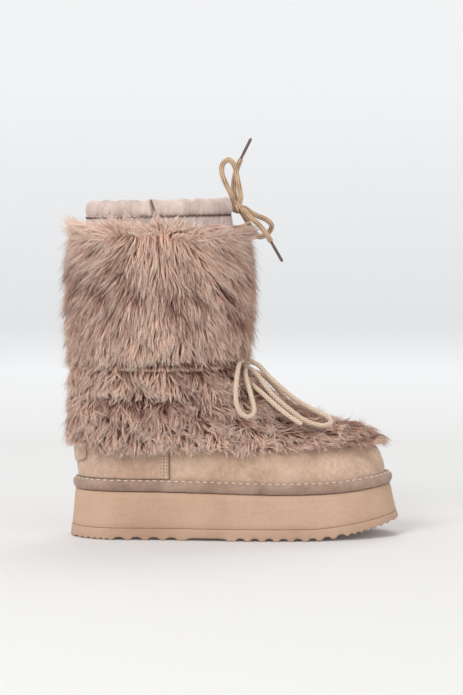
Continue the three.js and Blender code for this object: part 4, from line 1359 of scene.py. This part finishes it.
def flow_shaft(place, share):
    """The way the shaft's hair lies: it fans out from the middle of each side, most at the top."""
    across = (place[:, 0] - SHAFT_MIDDLE) / SHAFT_HALF
    return fan(across, 24 * across + 78 * across * np.clip(share, 0, 1) ** 2.2)


def flow_fringe(place, share):
    """The hair on the shaft's upper edge stands up and back behind, and lies forward in front."""
    across = (place[:, 0] - SHAFT_MIDDLE) / SHAFT_HALF
    turns = np.interp(across, (-1, -0.6, -0.15, 0.12, 0.34, 1), (-116, -112, -146, -184, -264, -262))
    return fan(across, turns % 360)


def flow_ankle(place, share):
    across = (place[:, 0] + 0.06) / SHAFT_HALF
    return fan(across, 22 * across + 6)


def flow_vamp(place, share):
    return fan(place[:, 0], np.interp(place[:, 0], (-0.14, -0.09, -0.02, 0.05, 0.10, 0.13), (-16, 6, 28, 52, 62, 50)))


def patch_tone_and_shade(place, patches):
    """Where the fur is darker or lighter, by its patches, some of which are painted shade."""
    tone = np.zeros(len(place))
    for x, z, wide, high, strength in patches:
        tone += strength * np.exp(-(((place[:, 0] - x) / wide) ** 2) - (((place[:, 2] - z) / high) ** 2))
    return tone


# Patches: X, Z, half width, half height and strength. The dark ones where the tiers meet and at the toe are painted
# shade.
SHAFT_PATCHES = [
    (-0.045, 0.250, 0.040, 0.014, 0.34), (-0.122, 0.262, 0.025, 0.012, 0.15), (-0.112, 0.238, 0.03, 0.010, -0.34),
    (-0.100, 0.219, 0.036, 0.013, -0.50), (-0.046, 0.214, 0.014, 0.020, -0.52), (-0.006, 0.205, 0.016, 0.045, -0.36),
    (-0.125, 0.185, 0.025, 0.030, 0.12), (-0.080, 0.168, 0.045, 0.016, 0.26), (-0.02, 0.170, 0.02, 0.02, 0.05),
    (-0.035, 0.190, 0.010, 0.022, -0.3), (-0.068, 0.2, 0.010, 0.018, 0.14),
]
# The ankle's dark patches at its top and foot, where the tiers meet, are painted shade under the hems
ANKLE_TONE_AND_SHADE_PATCHES = [
    (-0.085, 0.131, 0.05, 0.006, 0.15), (-0.07, 0.118, 0.05, 0.005, -0.3), (-0.02, 0.14, 0.03, 0.01, -0.3),
    (-0.03, 0.150, 0.045, 0.006, -0.6), (-0.10, 0.148, 0.02, 0.004, -0.2),
]
# The vamp's dark patches at its top, under the ankle's hem, and at the toe are painted shade
VAMP_TONE_AND_SHADE_PATCHES = [
    (0.035, 0.100, 0.020, 0.014, -0.50), (-0.085, 0.116, 0.035, 0.006, -0.6), (-0.03, 0.110, 0.03, 0.008, -0.35),
    (-0.05, 0.088, 0.03, 0.012, 0.16), (-0.106, 0.09, 0.014, 0.012, -0.3), (-0.13, 0.1, 0.012, 0.014, 0.12),
    (0.045, 0.078, 0.02, 0.006, 0.2), (0.075, 0.074, 0.014, 0.005, -0.35), (0.100, 0.085, 0.030, 0.010, -0.22),
]

# Each tier's hair: the node it stands for, where it grows, its locks and how the hair lies, its lengths, how far it
# lifts off and hangs past its foot, how much it bends, its tone and dapples, and the share of hair under its hem
# painted dark as shade
TIERS = {
    "shaft": dict(
        node="fur_shaft", low=SHAFT_FOOT, high=SHAFT_TOP, locks=6300, flow=flow_shaft, patches=SHAFT_PATCHES,
        length=(0.016, 0.024), lift=0.0072, hem=0.012, bend=12, tone=0.95, dapple=0.48, under=0.5, seed=21,
    ),
    "fringe": dict(
        node="fur_shaft", low=0.905, high=SHAFT_TOP, locks=1150, flow=flow_fringe, patches=SHAFT_PATCHES,
        length=(0.009, 0.022), lift=0.0056, hem=0.030, bend=26, tone=0.90, dapple=0.12, under=0.0, seed=27,
    ),
    "ankle": dict(
        node="fur_ankle", low=ANKLE_FOOT, high=SHAFT_FOOT - 0.003, locks=1850, flow=flow_ankle, patches=ANKLE_TONE_AND_SHADE_PATCHES,
        length=(0.013, 0.021), lift=0.0072, hem=0.009, bend=26, tone=0.98, dapple=0.44, under=0.5, seed=22,
    ),
    "vamp": dict(
        node="fur_vamp", low=VAMP_FOOT, high=ANKLE_FOOT + 0.015, locks=3650, flow=flow_vamp, patches=VAMP_TONE_AND_SHADE_PATCHES,
        length=(0.014, 0.023), lift=0.0066, hem=0.009, bend=30, tone=0.93, dapple=0.46, under=0.0, seed=23,
    ),
}


def hem_shape(name, root):
    """How much longer the hem hangs than usual at a place: 1 is usual."""
    x = root[:, 0]
    if name == "shaft":
        gap = smooth(x, -0.080, -0.064) * (1 - smooth(x, 0.0, 0.012))
        long = 1.3 + 0.35 * np.sin(x * 70 + root[:, 1] * 40)
        return long * (1 - gap) + gap * (-0.26 + 0.12 * np.sin(x * 210 + 1.0))
    if name == "ankle":
        parted = smooth(x, -0.125, -0.105) * (1 - smooth(x, -0.048, -0.03)) + smooth(x, -0.016, -0.006)
        wave = -0.40 + 0.25 * np.sin(x * 190 + 0.4 + root[:, 1] * 30)
        return 1.3 * (1 - parted) + np.minimum(1, parted) * wave
    if name == "vamp":
        tab = np.exp(-(((x + 0.131) / 0.013) ** 2))
        tufts = 0.55 + 0.45 * np.sin(x * 95 + 0.6) * np.sin(x * 41 + 1.9)
        return tufts - 1.6 * tab
    return np.ones(len(x))


def march(angle, level, way, step):
    """Move over the upper in a direction by a distance, and come back with the new place on it."""
    around, up, _ = tangents(angle, level)
    aa, uu, au = (around * around).sum(1), (up * up).sum(1), (around * up).sum(1)
    wa, wu = (way * around).sum(1), (way * up).sum(1)
    under = np.maximum(aa * uu - au * au, 1e-14)
    turn, climb = (wa * uu - wu * au) / under, (wu * aa - wa * au) / under
    moved = np.linalg.norm(around * turn[:, None] + up * climb[:, None], axis=1)
    size = step / np.maximum(moved, 0.15)
    return angle + turn * size, np.clip(level + climb * size, 0.3, TOP)


def roots(tier, rng):
    """Places for the locks' roots, evenly strewn over the tier."""
    low, high = float(level_of(tier["low"])), float(level_of(tier["high"]))
    order = np.arange(1, tier["locks"] * 6)
    angle = (0.5 + order * 0.7548776662466927) % 1 * 2 * math.pi
    level = low + (high - low) * ((0.5 + order * 0.5698402909980532) % 1)
    around, up, _ = tangents(angle, level)
    area = np.linalg.norm(np.cross(around, up), axis=1)
    keep = rng.uniform(0, 1, len(area)) < area / np.percentile(area, 99.5)
    angle, level = angle[keep][: tier["locks"]], level[keep][: tier["locks"]]
    return angle + rng.normal(0, 0.008, len(angle)), level + rng.normal(0, 0.01, len(angle))


def tousle(place):
    """How the locks of a patch turn together: a slow wave over the fur, about -1 to 1."""
    x, y, z = place.T
    one = np.sin(190 * x + 90 * y + 1.3 + 1.9 * np.sin(150 * z + 60 * y))
    two = np.sin(310 * z + 240 * y + 2.1 * np.sin(170 * x + 0.7))
    return 0.6 * one + 0.4 * two


def dapple(place):
    """Light and dark clumps all over the fur, about -1 to 1."""
    x, y, z = place.T
    broad = np.sin(205 * x + 95 * z + 2.2 * np.sin(130 * z + 70 * y) + 1.1) * np.cos(165 * z - 60 * x + 50 * y)
    narrow = np.sin(560 * x + 260 * y + 2.0 * np.sin(430 * z)) * np.sin(470 * z + 1.7 * np.sin(510 * x + 200 * y))
    return 1.15 * broad + 0.5 * narrow


TAB_FRONT, TAB_BARE = -0.117, 0.0835  # the heel tab behind this X and under this Z has no hair in front of it


def lock_paths(name, tier, rng):
    """Each lock's middle line, its places going over the upper and lifting off it."""
    angle, level = roots(tier, rng)
    count = len(angle)
    low, high = float(tier["low"]), float(tier["high"])
    length = rng.uniform(*tier["length"], count)
    wave = tousle(on_last(angle, level))
    bend = np.radians(tier["bend"]) * (wave + rng.normal(0, 0.4, count))
    curl = np.radians(tier["bend"]) * (0.5 * wave + rng.normal(0, 0.3, count))
    lift = tier["lift"] * rng.uniform(0.82, 1.18, count)
    foot_z = PLATFORM_HEIGHT + low * UPPER_HEIGHT
    tall = (high - low) * UPPER_HEIGHT
    root = on_last(angle, level)
    share = (root[:, 2] - foot_z) / tall
    hem = rng.uniform(0.1, 1.0, count) * tier["hem"] * hem_shape(name, root)
    # Hair under the hem: short, and painted nearly black as the shade in the gap below the hem
    under = (rng.uniform(0, 1, count) < tier["under"]) & (share < 0.010 / tall)
    hem = np.where(under, rng.uniform(0.001, 0.005, count), hem)
    lift = np.where(under, 0.0056, lift)
    lift = lift * (1 + 0.35 * smooth(root[:, 0], 0.07, 0.11) * (name == "vamp"))
    if name == "fringe":
        back = 1 - smooth(root[:, 0], -0.135, -0.115)
        bend = bend + rng.normal(0, 0.25, count) * (1 + 1.6 * back)
        length = length * (1 - back * rng.uniform(-0.2, 0.75, count))
        across = (root[:, 0] - SHAFT_MIDDLE) / SHAFT_HALF
        length = length * np.interp(across, (-1, -0.8, -0.2, 0.1, 0.5, 1), (0.6, 0.9, 1.0, 0.8, 0.6, 0.7))
    path, normals, sides, splay = [root], [], [], []
    for ring in range(RINGS):
        normal = tangents(angle, level)[2]
        normals.append(normal)
        way = tier["flow"](path[-1], (path[-1][:, 2] - foot_z) / tall)
        away = (way * normal).sum(1)
        splay.append(np.clip(away, 0, 0.9))
        way = unit(way - normal * away[:, None] * (0.6 if name == "fringe" else 0.97))
        side = np.cross(normal, way)
        way = unit(way + side * np.tan(bend + curl * ring)[:, None])
        sides.append(np.cross(way, normal))
        if ring == RINGS - 1:
            break
        if ring == 0:
            room = np.maximum(0.007, (root[:, 2] - foot_z + hem) / np.maximum(0.2, -way[:, 2]))
            length = np.where(way[:, 2] < 0.1, np.minimum(length, room * 1.05), length)
        angle, level = march(angle, level, way, length / (RINGS - 1))
        path.append(on_last(angle, level))
        if name == "fringe":
            path[-1] = path[-2] + way * (length / (RINGS - 1))[:, None]
    path, normals, sides = np.stack(path, 1), np.stack(normals, 1), np.stack(sides, 1)
    rise = np.array([0.26, 0.86, 1.08, 0.94])[None, :] * lift[:, None]
    rise = rise + np.array([0, 0, 0.0008, 0.0024])[None, :] * rng.normal(0.4, 0.9, count)[:, None]
    stand = 0.30 if name in ("shaft", "ankle") else 0.12
    rise = rise + stand * np.cumsum(np.stack(splay, 1) * np.array([0, 1, 1, 1]), 1) * (length / (RINGS - 1))[:, None]
    path = path + normals * rise[..., None]
    kept = (root[:, 0] > TAB_FRONT) | (root[:, 2] > TAB_BARE) | (name != "vamp")
    return path[kept], normals[kept], sides[kept], root[kept], under[kept]


PER_LOCK = 5  # hairs


def hairs_of(name, tier):
    """All hairs of a tier as rows of points, with their widths and tones: many to a lock, closing in at its tip."""
    rng = np.random.default_rng(tier["seed"])
    path, normals, sides, root, under = lock_paths(name, tier, rng)
    count = len(path)
    tone = tier["tone"] + rng.normal(0, 0.15, count) + patch_tone_and_shade(root, tier["patches"]) + tier["dapple"] * dapple(root)
    # Painted shade: the hair under the hem takes the darkest tone
    tone = np.where(under, 0.02, tone)
    loose = 1.8 if name == "fringe" else 1.0
    # Stray hairs are painted lighter, a painted highlight on the hair that stands out into the light; at the heel and
    # toe ends they are painted darker
    edge = np.where(np.abs(root[:, 1]) < 0.022, -0.35, 0.3)
    spread = np.array([1.0, 0.9, 0.7, 0.4])
    lines, widths, tones = [], [], []
    ahead = np.cross(normals, sides)
    for _ in range(PER_LOCK):
        a = rng.normal(0, 0.00055 * loose, count)
        b = rng.normal(0, 0.0009 * loose, count)
        frizz = rng.normal(0, 0.0003, (count, RINGS, 3)) * np.array([0.2, 0.8, 1.2, 1.8])[None, :, None]
        stray = (rng.uniform(0, 1, count) < 0.13) & ~under
        wild = np.where(stray, rng.uniform(0.8, 3.6, count), 0.0)
        line = path + (sides * a[:, None, None] + ahead * b[:, None, None]) * spread[None, :, None] * (
            1 + 0.5 * wild
        )[:, None, None]
        out = np.minimum(rng.exponential(0.0006, count), 0.003)[:, None] * np.array([0.0, 0.7, 1, 1.4])[None, :]
        out = out + wild[:, None] * np.array([0, 0.0003, 0.0009, 0.0018])[None, :]
        line = line + frizz + normals * out[..., None]
        start = line[:, :1]
        lines.append(start + (line - start) * rng.uniform(0.78, 1.08, count)[:, None, None])
        widths.append(rng.uniform(0.00018, 0.00033, count) * np.where(stray, 0.75, 1))
        tones.append(np.clip(tone + (rng.normal(0, 0.17, count) + edge * stray) * ~under, 0.02, 0.98))
    return np.concatenate(lines), np.concatenate(widths), np.concatenate(tones)


def hair_mesh(name, lines, widths, tones):
    """Hairs as thin closed three-sided points. Every third one bends at two places, the others at one."""
    order = np.arange(len(lines))
    parts = []
    shift = 0
    for full in (True, False):
        chosen = order[order % 3 == 0] if full else order[order % 3 != 0]
        path = lines[chosen]
        if not full:
            path = np.stack([path[:, 0], path[:, 1] * 0.45 + path[:, 2] * 0.55, path[:, 3]], 1)
        run = np.array([0.02, 0.34, 0.67, 0.98]) if full else np.array([0.02, 0.5, 0.98])
        taper = np.array([1.0, 0.95, 0.68]) if full else np.array([1.0, 0.88])
        rings = path.shape[1] - 1
        way = unit(np.gradient(path, axis=1))
        across = unit(np.cross(way, np.array([0.31, 0.52, 0.79])))
        up = np.cross(way, across)
        size = widths[chosen][:, None] * taper[None, :]
        corners = []
        for turn in (0.0, 2 * math.pi / 3, 4 * math.pi / 3):
            reach = across[:, :rings] * math.cos(turn) + up[:, :rings] * math.sin(turn)
            corners.append(path[:, :rings] + reach * size[..., None])
        points = np.concatenate([np.stack(corners, 2).reshape(len(chosen), rings * 3, 3), path[:, rings:]], 1)
        faces = [(0, 2, 1)]
        for ring in range(rings - 1):
            for k in range(3):
                p, q = ring * 3 + k, ring * 3 + (k + 1) % 3
                faces += [(p, q, q + 3), (p, q + 3, p + 3)]
        last = (rings - 1) * 3
        faces = np.array(faces + [(last + k, last + (k + 1) % 3, last + 3) for k in range(3)])
        corner_run = np.append(np.repeat(run[:rings], 3), run[-1])
        every = faces[None] + (shift + np.arange(len(chosen)) * (last + 4))[:, None, None]
        uv = np.empty((len(chosen), faces.size, 2))
        uv[..., 0] = tones[chosen][:, None]
        uv[..., 1] = corner_run[faces.reshape(-1)][None]
        parts.append((points.reshape(-1, 3), every.reshape(-1, 3), uv.reshape(-1, 2)))
        shift += len(chosen) * (last + 4)
    points, every, uv = (np.concatenate(one) for one in zip(*parts))
    mesh = bpy.data.meshes.new(name)
    mesh.vertices.add(len(points))
    mesh.vertices.foreach_set("co", points.reshape(-1))
    mesh.loops.add(len(every) * 3)
    mesh.loops.foreach_set("vertex_index", every.reshape(-1).astype(np.int32))
    mesh.polygons.add(len(every))
    mesh.polygons.foreach_set("loop_start", np.arange(0, len(every) * 3, 3, dtype=np.int32))
    mesh.polygons.foreach_set("use_smooth", np.ones(len(every), bool))
    layer = mesh.uv_layers.new(name="OFBake")
    layer.data.foreach_set("uv", uv.reshape(-1))
    mesh.update()
    mesh.validate()
    piece = bpy.data.objects.new(name, mesh)
    bpy.context.scene.collection.objects.link(piece)
    return piece


def undercoat(name, tier):
    """The short dense coat under the hairs: a shell close to the upper, its dark colour painted shade between the
    hairs.
    """
    low, high = float(level_of(tier["low"] + 0.006)), float(level_of(tier["high"] - 0.002))

    def depth(angle, level):
        share = (level - low) / (high - low)
        ripple = 0.0005 * np.sin(31 * angle + 9 * share) * np.sin(23 * share + 7 * angle)
        return 0.0006 + 0.0024 * np.minimum(1, 6 * share) * np.minimum(1, 6 * (1 - share)) + ripple

    rows = [*shell_rows(low, high, 14, depth), *shell_rows(low, high, 6, lambda a, v: 0.0003)[::-1]]
    piece = closed_ring(name, rows, 120)
    return dress(piece, undercoat_with_painted_shade, "fur", tier["node"])


for name, tier in TIERS.items():
    lines, widths, tones = hairs_of(name, tier)
    x, y = lines[:, 0, 0], lines[:, 0, 1]
    if name == "shaft":
        back, front = x < -0.098, x > -0.030
        side = ~back & ~front
        groups = {"_back": back, "_front": front, "_outer": side & (y < 0), "_inner": side & (y >= 0)}
    elif name == "vamp":
        front = x > 0.02
        groups = {"_front": front, "_outer": ~front & (y < 0), "_inner": ~front & (y >= 0)}
    else:
        groups = {"": np.ones(len(lines), bool)}
    if name != "fringe":
        undercoat(name + "_undercoat", tier)
    for word, chosen in groups.items():
        piece = hair_mesh(name + "_fur" + word, lines[chosen], widths[chosen], tones[chosen])
        dress(piece, fur_hair, "fur", tier["node"])


# Studio


FLOOR_REACH = 3.8
WALL_BEND = 1.4  # radius
WALL_TOP = 1.6  # above the bend


def close_middle():
    bpy.ops.mesh.remove_doubles(threshold=0.0001)
    bpy.ops.mesh.normals_make_consistent(inside=True)


def backdrop():
    """A round floor that bends up into a wall on every side."""
    let_go()
    bpy.ops.mesh.primitive_grid_add(x_subdivisions=72, y_subdivisions=48, size=1)
    sweep = bpy.context.object
    sweep.name = "studio_sweep"
    bend = WALL_BEND * math.pi / 2
    for v in sweep.data.vertices:
        turn = (v.co.x + 0.5) * 2 * math.pi
        run = (v.co.y + 0.5) * (FLOOR_REACH + bend + WALL_TOP)
        up = min(max(run - FLOOR_REACH, 0), bend) / WALL_BEND
        reach = min(run, FLOOR_REACH) + WALL_BEND * math.sin(up)
        high = WALL_BEND * (1 - math.cos(up)) + max(0, run - FLOOR_REACH - bend)
        v.co = Vector((reach * math.cos(turn), reach * math.sin(turn), high))
    edit_all(close_middle)
    bpy.ops.object.shade_smooth()
    sweep.data.materials.append(studio_finish("studio paper"))
    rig.stage(sweep)


backdrop()
scene = bpy.context.scene
scene.view_settings.view_transform = "Standard"
world = bpy.data.worlds.new("studio")
scene.world = world
world.use_nodes = True
world.node_tree.nodes["Background"].inputs["Color"].default_value = (1.0, 1.0, 1.0, 1)
world.node_tree.nodes["Background"].inputs["Strength"].default_value = 0.62
area_light("key_light", (-1.3, -2.0, 2.3), 1.6, 49)
area_light("fill_light", (1.8, -1.9, 1.3), 1.8, 7.5)
area_light("back_light", (0.2, 1.4, 2.4), 1.6, 16)

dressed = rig.bounds()
with open("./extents.json", "w") as out:
    json.dump(
        {"model": [list(map(float, p)) for p in model_box], "dressed": [list(map(float, p)) for p in dressed]}, out
    )
